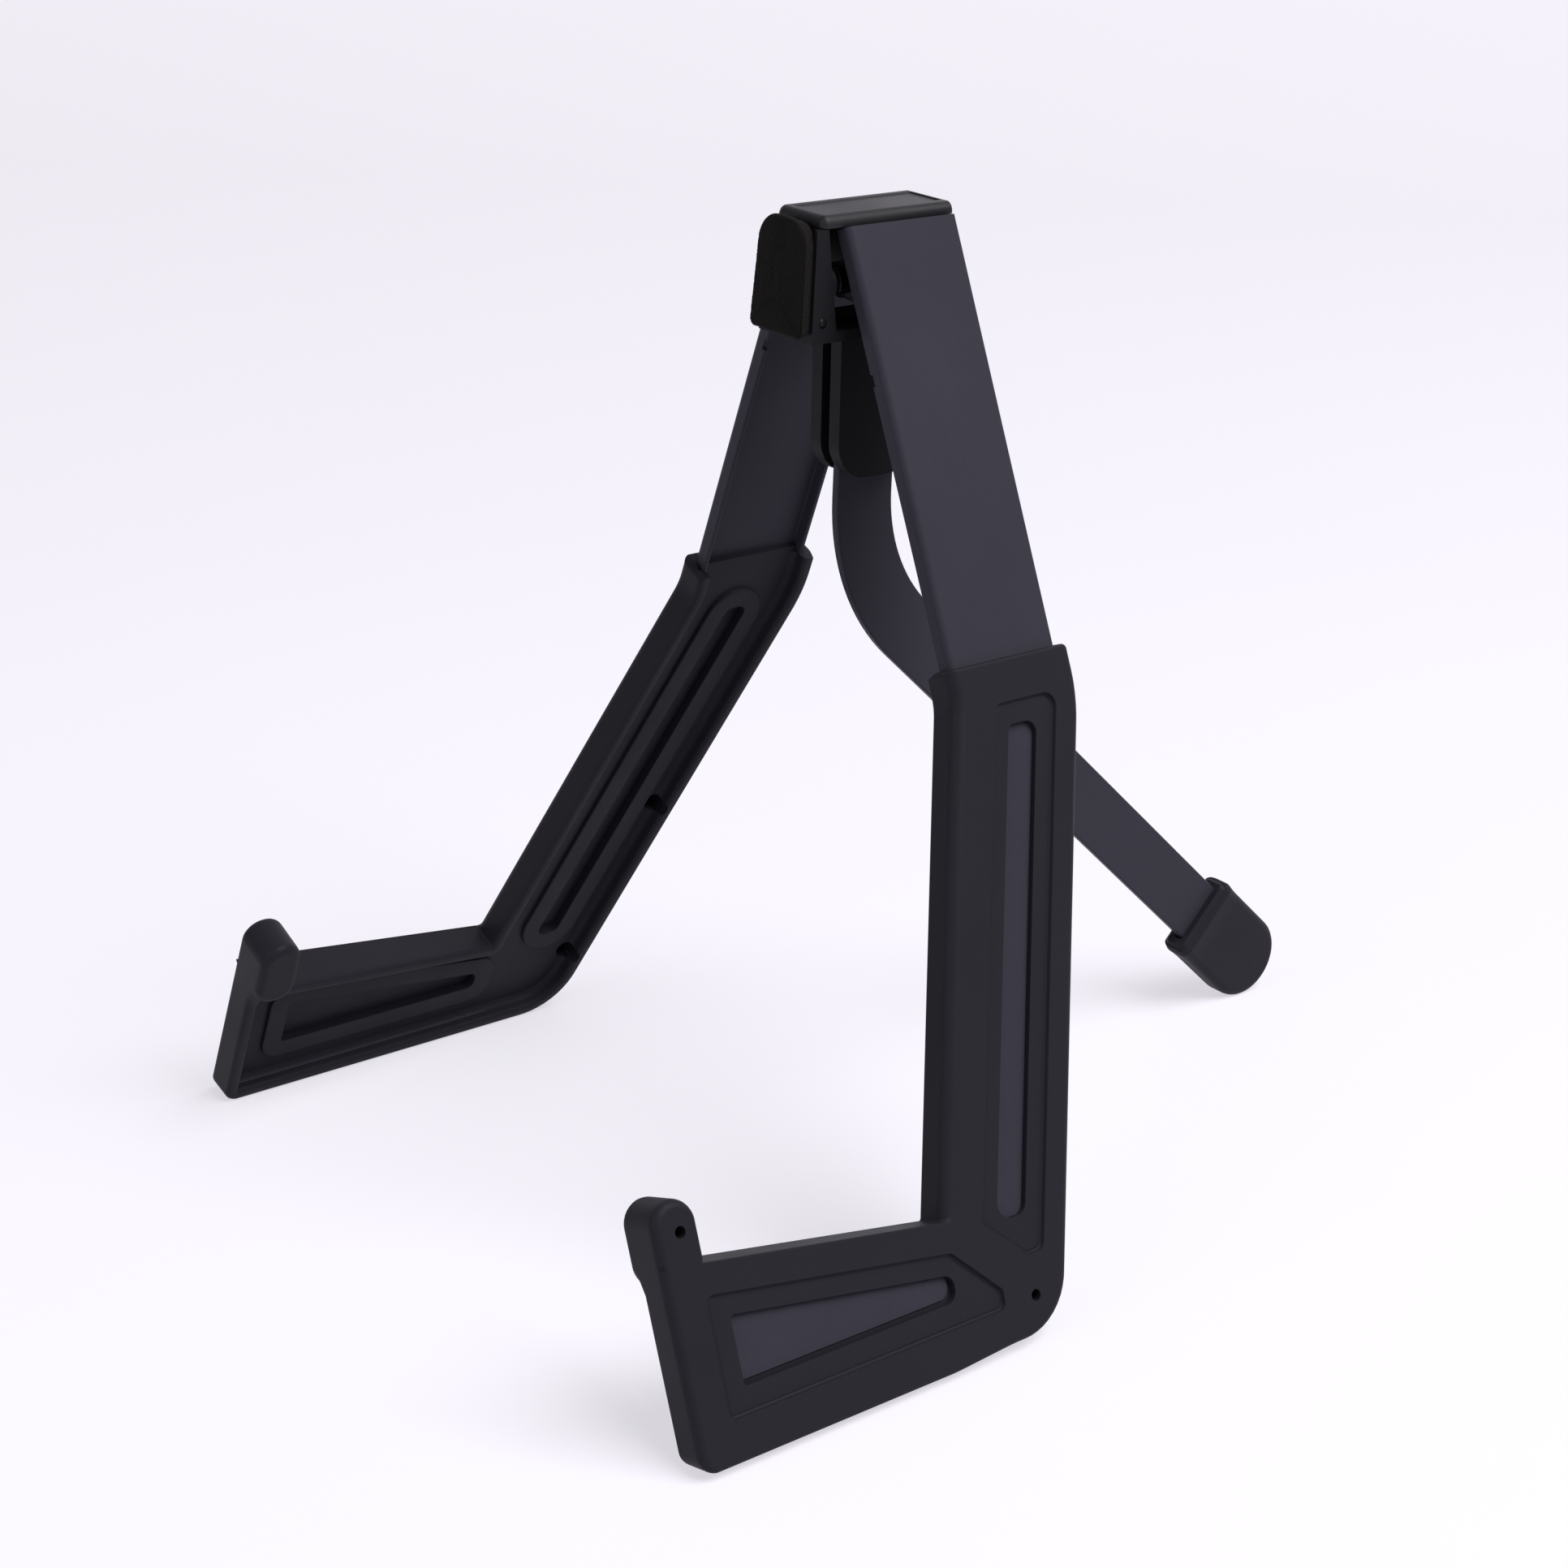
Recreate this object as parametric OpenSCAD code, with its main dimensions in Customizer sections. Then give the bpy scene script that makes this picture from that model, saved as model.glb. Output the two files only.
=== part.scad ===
// Folding guitar stand: two sheet-metal front legs in rubber boots, one bent bar behind,
// and a plastic head that all three fold on.
// +Z is up, -Y is the side the guitar leans on, and the stand is the same on both sides of X = 0.

/* [Front legs] */
// Angle between a front leg and upright when the stand is open
splay = 22.1; // [16:0.1:26]
// Length down the outer face of a front leg, from the level of the head's top
leg_len = 319.8; // [300:0.1:340]
// Distance from the middle of the stand to a leg's outer face, at the level of the head's top
leg_top_x = 13.85; // [13.6:0.05:16]
// Distance down the leg from the level of the head's top to the metal's upper edge
metal_top = 2.9; // [2.3:0.1:6]
// Width of the sheet-metal leg
metal_w = 40; // [36:0.5:46]
// Thickness of the sheet metal
sheet = 1.5; // [1.2:0.1:1.7]
// Depth of the folded edge of the sheet-metal leg
flange_depth = 5.6; // [4.6:0.1:6.4]
// Angle at which the upper part of a leg leans back
upper_lean = 2.2; // [0:0.1:4]
// Angle at which the shin leans forward
shin_lean = 16.5; // [12:0.1:20]
// Distance down the leg to its bend
bend_at = 143; // [136:0.5:150]

/* [Rubber boots] */
// Distance down the leg to the boot's mouth
mouth_at = 130.2; // [120:0.1:133]
// Thickness of rubber over the edges of the metal
edge_rubber = 3; // [2:0.1:4]
// Thickness of the outer skin over the metal
skin = 1.5; // [1.2:0.1:2]
// Depth of the sunk panels in the outer skin
panel_depth = 0.7; // [0.4:0.1:1]
// Thickness of the lining behind the metal
lining = 2; // [1.2:0.1:3]
// Depth of the boot's rim, from the outer face inwards
rim_depth = 10.6; // [9.5:0.1:12]
// Width of the boot's rim
rim_w = 5; // [4.8:0.1:6]
// Radius of the heel
heel_r = 20; // [12:0.5:24]
// Radius of the toe's lower corner
toe_r = 6; // [5.5:0.1:9]
// Height that the sole's lower edge is worn flat
sole_flat = 0.3; // [0.2:0.1:0.8]

/* [Cradle] */
// Distance down the leg to the corner where the shin meets the shelf
shelf_at = 279.5; // [272:0.5:284]
// Clear depth of the cradle from shin to hook
cradle = 79.3; // [70:0.1:90]
// Angle at which the shelf rises towards the hook
shelf_rise = 9.2; // [4:0.1:12]
// Reach of the shelf, inwards from the outer face, at the hook
shelf_reach = 15; // [12:0.1:17]
// Thickness of the shelf
shelf_t = 4.9; // [3:0.1:6]
// Thickness of the hook, front to back
hook_t = 14; // [12:0.5:18]
// Height of the hook above the shelf
hook_h = 18.9; // [14:0.1:28]
// Depth of the hook's knob, from the outer face inwards
hook_depth = 14.6; // [12:0.1:16]
// Radius of the small moulding holes
mould_hole_r = 1.7; // [1:0.1:2]

/* [Head] */
// Width of the cap's top face
cap_top_w = 17.3; // [14:0.1:18]
// Width of the cap's lower edge
cap_w = 22.2; // [19:0.1:22.2]
// Height of the cap
cap_h = 3.7; // [3:0.1:4.2]
// Cap's lower front edge, in front of the leg's middle line
cap_front = 26.9; // [25:0.1:28]
// Cap's lower rear edge, behind the leg's middle line
cap_rear = 20.9; // [19.5:0.1:24]
// Height from the underside of the housing to the top of the cap
head_h = 35.8; // [34:0.1:40]
// Width of the housing at its underside
housing_w = 24.6; // [22:0.1:24.8]
// Width of the housing under the cap
housing_top_w = 21.2; // [19:0.1:21.6]
// Front of the housing's underside, in front of the leg's middle line
housing_front = 30.6; // [29.5:0.1:33]
// Thickness of the front block at the underside
block_t = 9.2; // [8.4:0.1:10]
// Thickness of the front block under the cap
block_top_t = 4.2; // [4:0.1:6]
// Thickness of the housing's floor
floor_t = 3; // [2:0.1:4]
// Thickness of the rear block
rear_block_t = 4.3; // [3:0.1:5]
// Clearance between the rear block and a leg's rear edge
rear_clear = 0.8; // [0.4:0.1:1.5]

/* [Pad] */
// Width of the foam pad at its lower end
pad_w = 20.8; // [18:0.1:21]
// Width of the foam pad at its upper end
pad_top_w = 17.6; // [15:0.1:18]
// Length of the foam pad
pad_len = 30.4; // [26:0.1:32]
// Thickness of the foam at its middle
pad_t = 4.9; // [3:0.1:8]
// Angle at which the pad leans back
pad_tilt = 3.4; // [0:0.1:6]
// Distance from the housing's underside up to the pad
pad_lift = 3.7; // [3:0.1:5]

/* [Hinges] */
// Distance from the middle of the stand to a leg's hinge pin
hinge_x = 6.5; // [6.1:0.1:7]
// Height of the hinge pins above the housing's underside
hinge_lift = 16; // [14:0.1:18]
// Radius of a hinge pin
hinge_pin_r = 2; // [1.5:0.1:2.5]
// Radial clearance of every pin in its bore
pin_clear = 0.05; // [0.02:0.01:0.1]
// Radius of the eye of a bracket
eye_r = 5; // [4.5:0.1:5.5]

/* [Rear leg] */
// Width of the rear bar
bar_w = 21; // [16:0.5:24]
// Thickness of the rear bar
bar_t = 3; // [2:0.1:3.2]
// Middle of the bar's upright part, behind the legs' middle line
bar_y = 0.75; // [-2:0.05:2]
// Angle of the bar's bend
bar_bend = 47.2; // [40:0.1:52]
// Radius of the bar's bend at its middle line
bar_bend_r = 62; // [45:1:70]
// Middle of the rear foot's nose, behind the legs' middle line
nose_y = 185.6; // [160:0.5:200]
// Radius of the rear foot's nose, half its width
nose_r = 14.55; // [12.5:0.05:17]
// Thickness of the rear foot cap
foot_cap_t = 11; // [8:0.5:14]
// Length of the foot cap ahead of the middle of its nose
foot_cap_len = 34; // [24:0.1:46]
// Height that the rear foot is worn flat
foot_flat = 0.2; // [0.1:0.05:0.4]

/* [Rear yoke] */
// Gap between the yoke's two tongues
yoke_gap = 3.8; // [3.6:0.1:4.6]
// Width over both tongues
yoke_w = 13.2; // [11:0.1:15]
// Height of the tongues
yoke_h = 44; // [38:0.5:46]
// Front edge of the tongues, in front of the legs' middle line
yoke_front = 15; // [13:0.1:18]
// Thickness of the web that closes the gap behind the bar
yoke_web_t = 4.5; // [3:0.1:6]
// Radius of the tongues' lower corners
yoke_corner_r = 11; // [4:0.5:13]
// Distance from the housing's underside down to the rear leg's pin
yoke_pin_drop = 14; // [13:0.1:16]
// Radius of the rear leg's pin
yoke_pin_r = 2.5; // [2:0.1:3]
// Wall of the sleeve in the bar's eye
sleeve_wall = 1.5; // [1:0.1:2]

/* [Hidden] */
$fn = 48;

metal_colour = "#3b3b45";
rubber_colour = "#2b2b2e";
plastic_colour = "#232327";
foam_colour = "#1c1a18";
steel_colour = "#2b2b2f";
nylon_colour = "#1d1d20";

// Small overshoot of every cut, and the gap between parts that move past each other
over = 1;
gap = 0.3;

// Leg outline: half widths about a middle line that bends once
boot_half = metal_w / 2 + edge_rubber;
mean_lean = (upper_lean - shin_lean) / 2;
half_turn = (upper_lean + shin_lean) / 2;
bend_front_r = 20;
bend_rear_r = 50;
inner_corner_r = 0.8;

// Depths into the leg, from the boot's outer face
metal_in = skin + sheet;
flange_tip = skin + flange_depth;
lining_in = metal_in + lining;

// Height of the head's top above the floor: the inner edge of each sole reaches the floor
top_z = leg_len * cos(splay) + rim_depth * sin(splay) - sole_flat;
under_z = top_z - head_h;
cap_z = top_z - cap_h;
hinge_z = under_z + hinge_lift;
yoke_pin_z = under_z - yoke_pin_drop;

// Hinge pin in the leg's own plane: distance down the leg and depth inwards
hinge_dx = leg_top_x - hinge_x;
hinge_dz = top_z - hinge_z;
hinge_s = hinge_dz * cos(splay) - hinge_dx * sin(splay);
hinge_d = hinge_dx * cos(splay) + hinge_dz * sin(splay);

// Rear bar: the two straight middle lines cross at corner_z
nose_z = nose_r - foot_flat;
corner_z = nose_z + (nose_y - bar_y) / tan(bar_bend);
bar_arc_z = corner_z + bar_bend_r * tan(bar_bend / 2);
sleeve_r = yoke_pin_r + pin_clear + sleeve_wall;

// Directions down the upper leg, down the shin, and along the shelf towards the toe, as [y, s]
function lean_dir(a) = [sin(a), cos(a)];
upper_dir = lean_dir(upper_lean);
shin_dir = lean_dir(-shin_lean);
shelf_dir = [-cos(shelf_rise), -sin(shelf_rise)];
shelf_normal = [-sin(shelf_rise), cos(shelf_rise)];

// Points of the boot that other sizes hang on
toe_y = corner_at(0)[0] - cradle - hook_t;
hook_back_y = toe_y + hook_t;
hook_foot_s = shelf_point(0, hook_back_y)[1];

// The legs' middle line lies here, so that the origin is under the middle of the whole stand
legs_y = -(toe_y + nose_y + nose_r) / 2;

// Unit vector along v
function unit(v) = v / norm(v);

// Point where the line through p along u crosses the line through q along v
function meet(p, u, q, v) =
    let (w = q - p)
    p + u * (w[0] * v[1] - w[1] * v[0]) / (u[0] * v[1] - u[1] * v[0]);

// Arc that replaces the corner b of the path a, b, c
function corner_arc(a, b, c, r, steps) =
    let (
        u = unit(a - b),
        v = unit(c - b),
        half = acos(u * v) / 2,
        centre = b + unit(u + v) * r / sin(half),
        from = b + u * r / tan(half) - centre,
        to = b + v * r / tan(half) - centre
    )
    [for (i = [0:steps]) centre + r * unit(from * (1 - i / steps) + to * (i / steps))];

// Closed outline with each corner rounded to its own radius; a radius of 0 keeps the corner
function rounded(points, radii, steps = 5) =
    let (n = len(points))
    [for (i = [0:n - 1])
        each (radii[i] > 0
            ? corner_arc(points[(i + n - 1) % n], points[i], points[(i + 1) % n], radii[i], steps)
            : [points[i]])];

function all_round(points, r, steps = 5) = rounded(points, [for (p = points) r], steps);

// Bend of the line that runs h behind the leg's middle line
function bend_point(h) =
    [bend_at * tan(upper_lean), bend_at] + h / cos(half_turn) * [cos(mean_lean), -sin(mean_lean)];

// Points at height s on the line that runs h behind the middle line
function upper_point(h, s) = bend_point(h) + upper_dir * (s - bend_point(h)[1]) / upper_dir[1];
function shin_point(h, s) = bend_point(h) + shin_dir * (s - bend_point(h)[1]) / shin_dir[1];

// Corner between shin and shelf, and points of the shelf, all e inside the boot's outline
function corner_at(e) =
    meet(bend_point(e - boot_half), shin_dir,
         shin_point(-boot_half, shelf_at) + shelf_normal * e, shelf_dir);
function shelf_point(e, y) = meet(corner_at(e), shelf_dir, [y, 0], [0, 1]);

// Outline of the whole leg, e inside the boot's outline, cut off square at height top
function leg_outline(e, top) =
    let (
        front = e - boot_half,
        rear = boot_half - e,
        sole = leg_len - e
    )
    rounded(
        [upper_point(front, top), bend_point(front), corner_at(e), shelf_point(e, toe_y + e),
         [toe_y + e, sole], meet(bend_point(rear), shin_dir, [0, sole], [1, 0]),
         bend_point(rear), upper_point(rear, top)],
        [0, bend_front_r + e, inner_corner_r + e, 0,
         toe_r - e, heel_r - e, bend_rear_r - e, 0]);

// Side view of the hook, from under the shelf to its rounded top
hook_top_r = hook_t / 2 - 0.1;
hook_front_r = 5;
function hook_outline() =
    let (
        top = hook_foot_s - hook_h,
        foot = shelf_point(shelf_t, hook_back_y)[1]
    )
    rounded(
        [[hook_back_y, foot], [hook_back_y, top], [toe_y, top], [toe_y, foot]],
        [0, hook_top_r, hook_top_r, hook_front_r]);

// Sunk panel of the shin: parallel to the shin, with its lower end cut along the heel's diagonal
panel_front = 15.4;
panel_rear = 9.2;
panel_top = 12.4;
heel_cut = 42.5;
heel_cut_from = [14.6, 6.2];
panel_end = 22.4;
function shin_panel() =
    let (
        front = panel_front - boot_half,
        rear = boot_half - panel_rear,
        top = mouth_at + panel_top,
        foot = leg_len - panel_end,
        cut = corner_at(0) + heel_cut_from,
        cut_dir = lean_dir(90 - heel_cut)
    )
    rounded(
        [shin_point(front, top), shin_point(rear, top), shin_point(rear, foot),
         meet(cut, cut_dir, [0, foot], [1, 0]), meet(cut, cut_dir, shin_point(front, top), shin_dir)],
        [3, 4, 3, 3, 1.5]);

// Window in the shin panel: a long slot through which the metal shows
slot_w = 9.6;
slot_top = 19.6;
slot_foot = 34.6;
slot_back = 0.4;
slot_trim = 0.8;
function shin_slot(w) =
    let (
        middle = (panel_front - panel_rear) / 2 + slot_back,
        top = mouth_at + slot_top + (slot_w - w) / 2,
        foot = leg_len - slot_foot - (slot_w - w) / 2
    )
    all_round(
        [shin_point(middle - w / 2, top), shin_point(middle + w / 2, top),
         shin_point(middle + w / 2, foot), shin_point(middle - w / 2, foot)],
        3);

// Sunk panel of the foot: follows the shelf, the toe and the sole
foot_panel_shelf = 8.7;
foot_panel_toe = 11.3;
foot_panel_sole = 10.2;
foot_panel_end = [0.4, 10];
foot_panel_back = 15.4;
function foot_panel() =
    let (
        end = corner_at(0) + foot_panel_end,
        back = end[0] + foot_panel_back,
        toe = toe_y + foot_panel_toe,
        sole = leg_len - foot_panel_sole
    )
    all_round(
        [shelf_point(foot_panel_shelf, toe), shelf_point(foot_panel_shelf, end[0]),
         meet(end, lean_dir(90 - heel_cut), [back, 0], [0, 1]), [back, sole], [toe, sole]],
        2.4);

// Window in the foot panel: a wedge that narrows towards the heel
window_rim = 7.4;
window_drop = 6.4;
window_trim = 0.6;
function foot_window(e) =
    let (
        toe = toe_y + foot_panel_toe + window_rim + e,
        end = corner_at(0)[0] - e,
        sole = leg_len - foot_panel_sole - window_rim - e,
        top = foot_panel_shelf + window_drop + e
    )
    all_round([shelf_point(top, toe), shelf_point(top, end), [end, sole], [toe, sole]], 1.5);

// Middles of the two moulding holes and the two pockets in the rear rim, as [y, s]
heel_hole_in = [27, 11];
heel_hole = [corner_at(0)[0] + heel_hole_in[0], leg_len - heel_hole_in[1]];
hook_hole_in = [6, 9];
hook_hole = [hook_back_y - hook_hole_in[0], hook_foot_s - hook_h + hook_hole_in[1]];
rim_pocket_r = 3.2;
rim_pocket_up = [85.5, 21.9];
rim_pockets = [for (up = rim_pocket_up) shin_point(boot_half - rim_w, leg_len - up)];

// Everything is built around the legs' middle line and drawn shifted to the stand's origin
module in_place() {
    translate([0, legs_y, 0]) children();
}

// Plane of the right leg's outer face: x runs back, y runs down the leg, z runs inwards
module leg_plane() {
    translate([leg_top_x, 0, top_z])
        rotate([0, -splay, 0])
        rotate([-90, 0, 90])
        children();
}

module left_side() {
    mirror([1, 0, 0]) children();
}

// Profile drawn in Y and Z, spread equally to both sides of X = 0
module across(width) {
    rotate([90, 0, 90])
        linear_extrude(width, center = true)
        children();
}

// Round bars along Y from y0 to y1, and along X to both sides of the middle
module rod_y(r, y0, y1, x, z) {
    translate([x, y0, z])
        rotate([-90, 0, 0])
        cylinder(r = r, h = y1 - y0);
}

module rod_x(r, width, y, z) {
    translate([-width / 2, y, z])
        rotate([0, 90, 0])
        cylinder(r = r, h = width);
}

// Block with a taper in front view and its own side view, under the cap
module tapered(side_points) {
    intersection() {
        across(housing_w + over) polygon(side_points);
        rotate([90, 0, 0])
            linear_extrude(3 * housing_front, center = true)
            polygon([[-housing_w / 2, under_z], [housing_w / 2, under_z],
                     [housing_top_w / 2, cap_z], [-housing_top_w / 2, cap_z]]);
    }
}

// Head: the front block's rear face, the rear block and the ends of the hinge pins
block_rear = housing_front - block_t;
block_top_front = housing_front - (cap_z - under_z) * tan(pad_tilt);
block_top_rear = block_top_front - block_top_t;
rear_block_y = metal_w / 2 - sheet - rear_clear;
boss_inset = 0.1;
boss_y = -(block_rear + boss_inset);
boss_overlap = 1;
pin_front_in = 4.1;
pin_front_y = pin_front_in - housing_front;

// Pegs that hold the cap: places on both blocks
peg_r = 0.9;
peg_len = 5;
peg_x = 5;
peg_in = 1.25;
peg_places = [for (x = [-peg_x, peg_x]) for (y = [-block_top_rear - peg_in,
                                                 rear_block_y - rear_block_t / 2]) [x, y]];

module pegs(r, length) {
    for (p = peg_places)
        translate([p[0], p[1], cap_z - length])
            cylinder(r = r, h = length + over / 2);
}

// Outline of the cap between a and b, bevelled above its lip by bevel_a and bevel_b
cap_lip = 0.7;
cap_front_bevel = 1.65;
cap_rear_bevel = 0.35;
module cap_side(a, b, bevel_a, bevel_b) {
    polygon([[a, cap_z], [b, cap_z], [b, cap_z + cap_lip],
             [b - bevel_b, top_z], [a + bevel_a, top_z], [a, cap_z + cap_lip]]);
}

// Lid: bevelled most at its sides, with four pegs underneath
module head_cap() {
    side_bevel = (cap_w - cap_top_w) / 2;
    color(plastic_colour)
        in_place() {
            intersection() {
                rotate([90, 0, 0])
                    linear_extrude(3 * cap_front, center = true)
                    cap_side(-cap_w / 2, cap_w / 2, side_bevel, side_bevel);
                across(cap_w + over)
                    cap_side(-cap_front, cap_rear, cap_front_bevel, cap_rear_bevel);
            }
            pegs(peg_r, peg_len);
        }
}

// Places of the yoke's two screws, in the middle of each tongue
screw_x = (yoke_gap + yoke_w) / 4;
screw_back = 8;
screw_y = bar_y + screw_back;
screw_r = 1.2;
screw_len = 9;
screw_head_r = 2.2;
screw_head_h = 1.6;
screw_socket_r = 1;
screw_socket_h = 0.8;

// Frame of the pad: x across, y into the housing, z up the leaning front face
module pad_frame() {
    translate([0, -housing_front, under_z])
        rotate([-pad_tilt, 0, 0])
        children();
}

// Front view of the pad or of what holds it, grown by e; its upper corners have the radius top_r
function pad_outline(e, top_r) =
    let (
        low = pad_lift - e,
        high = pad_lift + pad_len + e
    )
    rounded(
        [[-pad_w / 2 - e, low], [pad_w / 2 + e, low], [pad_top_w / 2 + e, high],
         [-pad_top_w / 2 - e, high]],
        [1.6, 1.6, top_r, top_r]);

// Solid between the depths y0 and y1 of the pad's frame
module pad_layer(e, top_r, y0, y1) {
    pad_frame()
        translate([0, y1, 0])
        rotate([90, 0, 0])
        linear_extrude(y1 - y0)
        polygon(pad_outline(e, top_r));
}

// Backing plate: depths of its seat and of its lug
seat_depth = 1.6;
plate_t = 1.2;
plate_fit = 0.4;
plate_trim = 0.7;
lug_w = 6;
lug_low = 3.2;
lug_high = 8.8;
lug_depth = 6;
cross_pin_r = 1.5;
cross_pin_depth = 3.6;
cross_pin_lift = 6;
cross_pin_short = 0.4;
lug_clear = 0.15;
plate_corner_r = 7;
seat_corner_r = 1;

module plate_lug(e) {
    pad_frame()
        translate([-lug_w / 2 - e, seat_depth - plate_t / 2, lug_low - e])
        cube([lug_w + 2 * e, lug_depth + e - seat_depth + plate_t / 2, lug_high - lug_low + 2 * e]);
}

module cross_pin(r, width) {
    pad_frame()
        rod_x(r, width, cross_pin_depth, cross_pin_lift);
}

// Housing: front block with bosses, floor, and rear block, bored for the hinge pins
module head_housing() {
    color(plastic_colour)
        in_place()
        difference() {
            union() {
                tapered([[-housing_front, under_z], [-block_rear, under_z],
                         [-block_top_rear, cap_z], [-block_top_front, cap_z]]);
                tapered([[-block_rear - over, under_z], [rear_block_y, under_z],
                         [rear_block_y, under_z + floor_t], [-block_rear - over, under_z + floor_t]]);
                tapered([[rear_block_y - rear_block_t, under_z], [rear_block_y, under_z],
                         [rear_block_y, cap_z], [rear_block_y - rear_block_t, cap_z]]);
                for (x = [-hinge_x, hinge_x])
                    rod_y(eye_r, boss_overlap - block_top_front, boss_y, x, hinge_z);
            }
            pad_layer(plate_fit, seat_corner_r, -over, seat_depth);
            plate_lug(lug_clear);
            cross_pin(cross_pin_r, housing_w + over);
            pegs(peg_r, peg_len + gap);
            for (x = [-hinge_x, hinge_x])
                rod_y(hinge_pin_r, pin_front_y, rear_block_y + over, x, hinge_z);
            for (x = [-screw_x, screw_x])
                translate([x, screw_y, under_z - over])
                    cylinder(r = screw_r, h = floor_t + 2 * over);
        }
}

module pad_backing_plate() {
    color(steel_colour)
        in_place()
        difference() {
            union() {
                pad_layer(plate_fit - plate_trim, plate_corner_r, seat_depth - plate_t, seat_depth);
                plate_lug(0);
            }
            cross_pin(cross_pin_r, lug_w + over);
        }
}

// Foam: crowned across its width, resting just clear of its backing plate
module foam_pad() {
    pad_back = seat_depth - plate_t - gap;
    pad_corner_r = 7.5;
    crown_r = 90;
    color(foam_colour)
        in_place()
        intersection() {
            pad_layer(0, pad_corner_r, pad_back - pad_t, pad_back);
            pad_frame()
                translate([0, pad_back - pad_t + crown_r, 0])
                cylinder(r = crown_r, h = pad_lift + pad_len + over, $fn = 360);
        }
}

module pad_cross_pin() {
    color(steel_colour)
        in_place()
        cross_pin(cross_pin_r, housing_w - 2 * cross_pin_short);
}

// Rear yoke: two tongues joined behind the bar
module rear_yoke() {
    yoke_draft = 0.8;
    yoke_rear = bar_y + bar_w / 2 + gap + yoke_web_t;
    low = under_z - yoke_h;
    color(plastic_colour)
        in_place()
        difference() {
            across(yoke_w)
                polygon(rounded(
                    [[-yoke_front, under_z], [yoke_draft - yoke_front, low], [yoke_rear, low],
                     [yoke_rear, under_z]],
                    [0, yoke_corner_r, yoke_corner_r, 0]));
            across(yoke_gap)
                translate([-yoke_front - over, low - over])
                square([yoke_rear - yoke_web_t + yoke_front + over, yoke_h + 2 * over]);
            rod_x(yoke_pin_r, yoke_w + over, bar_y, yoke_pin_z);
            for (x = [-screw_x, screw_x])
                translate([x, screw_y, under_z + floor_t - screw_len])
                    cylinder(r = screw_r, h = screw_len);
        }
}

module yoke_screws() {
    color(steel_colour)
        in_place()
        for (x = [-screw_x, screw_x])
            translate([x, screw_y, under_z + floor_t]) {
                translate([0, 0, -screw_len + gap])
                    cylinder(r = screw_r, h = screw_len);
                difference() {
                    cylinder(r = screw_head_r, h = screw_head_h);
                    translate([0, 0, screw_head_h - screw_socket_h])
                        cylinder(r = screw_socket_r, h = over, $fn = 6);
                }
            }
}

module rear_leg_pin() {
    pin_short = 0.2;
    color(steel_colour)
        in_place()
        rod_x(yoke_pin_r, yoke_w - 2 * pin_short, bar_y, yoke_pin_z);
}

// Bracket of each leg: where its ears stand along Y
ear_t = 2;
ear_in = 2.2;
front_ear = ear_in + sheet - metal_w / 2;
spacer_gap = 0.1;
spacer_r = 3.8;
rear_spacer_len = 2;
rear_ear = rear_block_y - rear_block_t - gap - spacer_gap - ear_t;

module hinge_pin() {
    rod_y(hinge_pin_r, pin_front_y, rear_block_y, hinge_x, hinge_z);
}

// Spacers that keep the bracket's ears clear of the bosses and of the rear block
module hinge_spacers() {
    difference() {
        union() {
            rod_y(spacer_r, boss_y, front_ear - spacer_gap, hinge_x, hinge_z);
            rod_y(spacer_r, rear_ear - spacer_gap - rear_spacer_len, rear_ear - spacer_gap,
                  hinge_x, hinge_z);
        }
        rod_y(hinge_pin_r, -housing_front, rear_block_y, hinge_x, hinge_z);
    }
}

module right_hinge_pin() {
    color(steel_colour) in_place() hinge_pin();
}

module left_hinge_pin() {
    color(steel_colour) in_place() left_side() hinge_pin();
}

module right_hinge_spacers() {
    color(nylon_colour) in_place() hinge_spacers();
}

module left_hinge_spacers() {
    color(nylon_colour) in_place() left_side() hinge_spacers();
}

// Base of the bracket, welded to the inside of the web
bracket_t = 1.5;
bracket_down = 11;
bracket_up = 8;
bracket_low = hinge_s + bracket_down;
bracket_high = hinge_s - bracket_up;

// Sheet-metal leg: flat web with a folded edge all the way round, cut open at the top
module metal_body() {
    translate([0, 0, skin])
        linear_extrude(sheet)
        polygon(leg_outline(edge_rubber, metal_top));
    translate([0, 0, skin])
        linear_extrude(flange_depth)
        difference() {
            polygon(leg_outline(edge_rubber, metal_top));
            polygon(leg_outline(edge_rubber + sheet, metal_top - over));
        }
}

notch_at = 44;
notch_len = 3.5;
notch_depth = 1.2;
module leg_channel() {
    difference() {
        metal_body();
        translate([upper_point(-metal_w / 2, notch_at)[0] - over, notch_at, flange_tip - notch_depth])
            cube([sheet + 2 * over, notch_len, notch_depth + over]);
        translate([heel_hole[0], heel_hole[1], 0])
            cylinder(r = mould_hole_r, h = rim_depth);
    }
}

// Shelf: as deep as the rim at the shin, reaching further inwards at the hook
module shelf() {
    start = corner_at(0);
    run = (start[0] - toe_y - 1) / cos(shelf_rise);
    translate([start[0], start[1], 0])
        rotate([90, 0, 180 + shelf_rise])
        linear_extrude(shelf_t)
        polygon([[0, 0], [run, 0], [run, shelf_reach], [0, rim_depth]]);
}

// Hook with its knob: rounded in side view and at its inner end
module hook() {
    round_r = hook_t / 2 - 0.5;
    intersection() {
        linear_extrude(hook_depth) polygon(hook_outline());
        translate([0, leg_len, 0])
            rotate([90, 0, 0])
            linear_extrude(leg_len - shelf_at + hook_h + hook_t)
            polygon(rounded(
                [[toe_y, 0], [hook_back_y, 0], [hook_back_y, hook_depth], [toe_y, hook_depth]],
                [0, 0, round_r, round_r]));
    }
}

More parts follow.
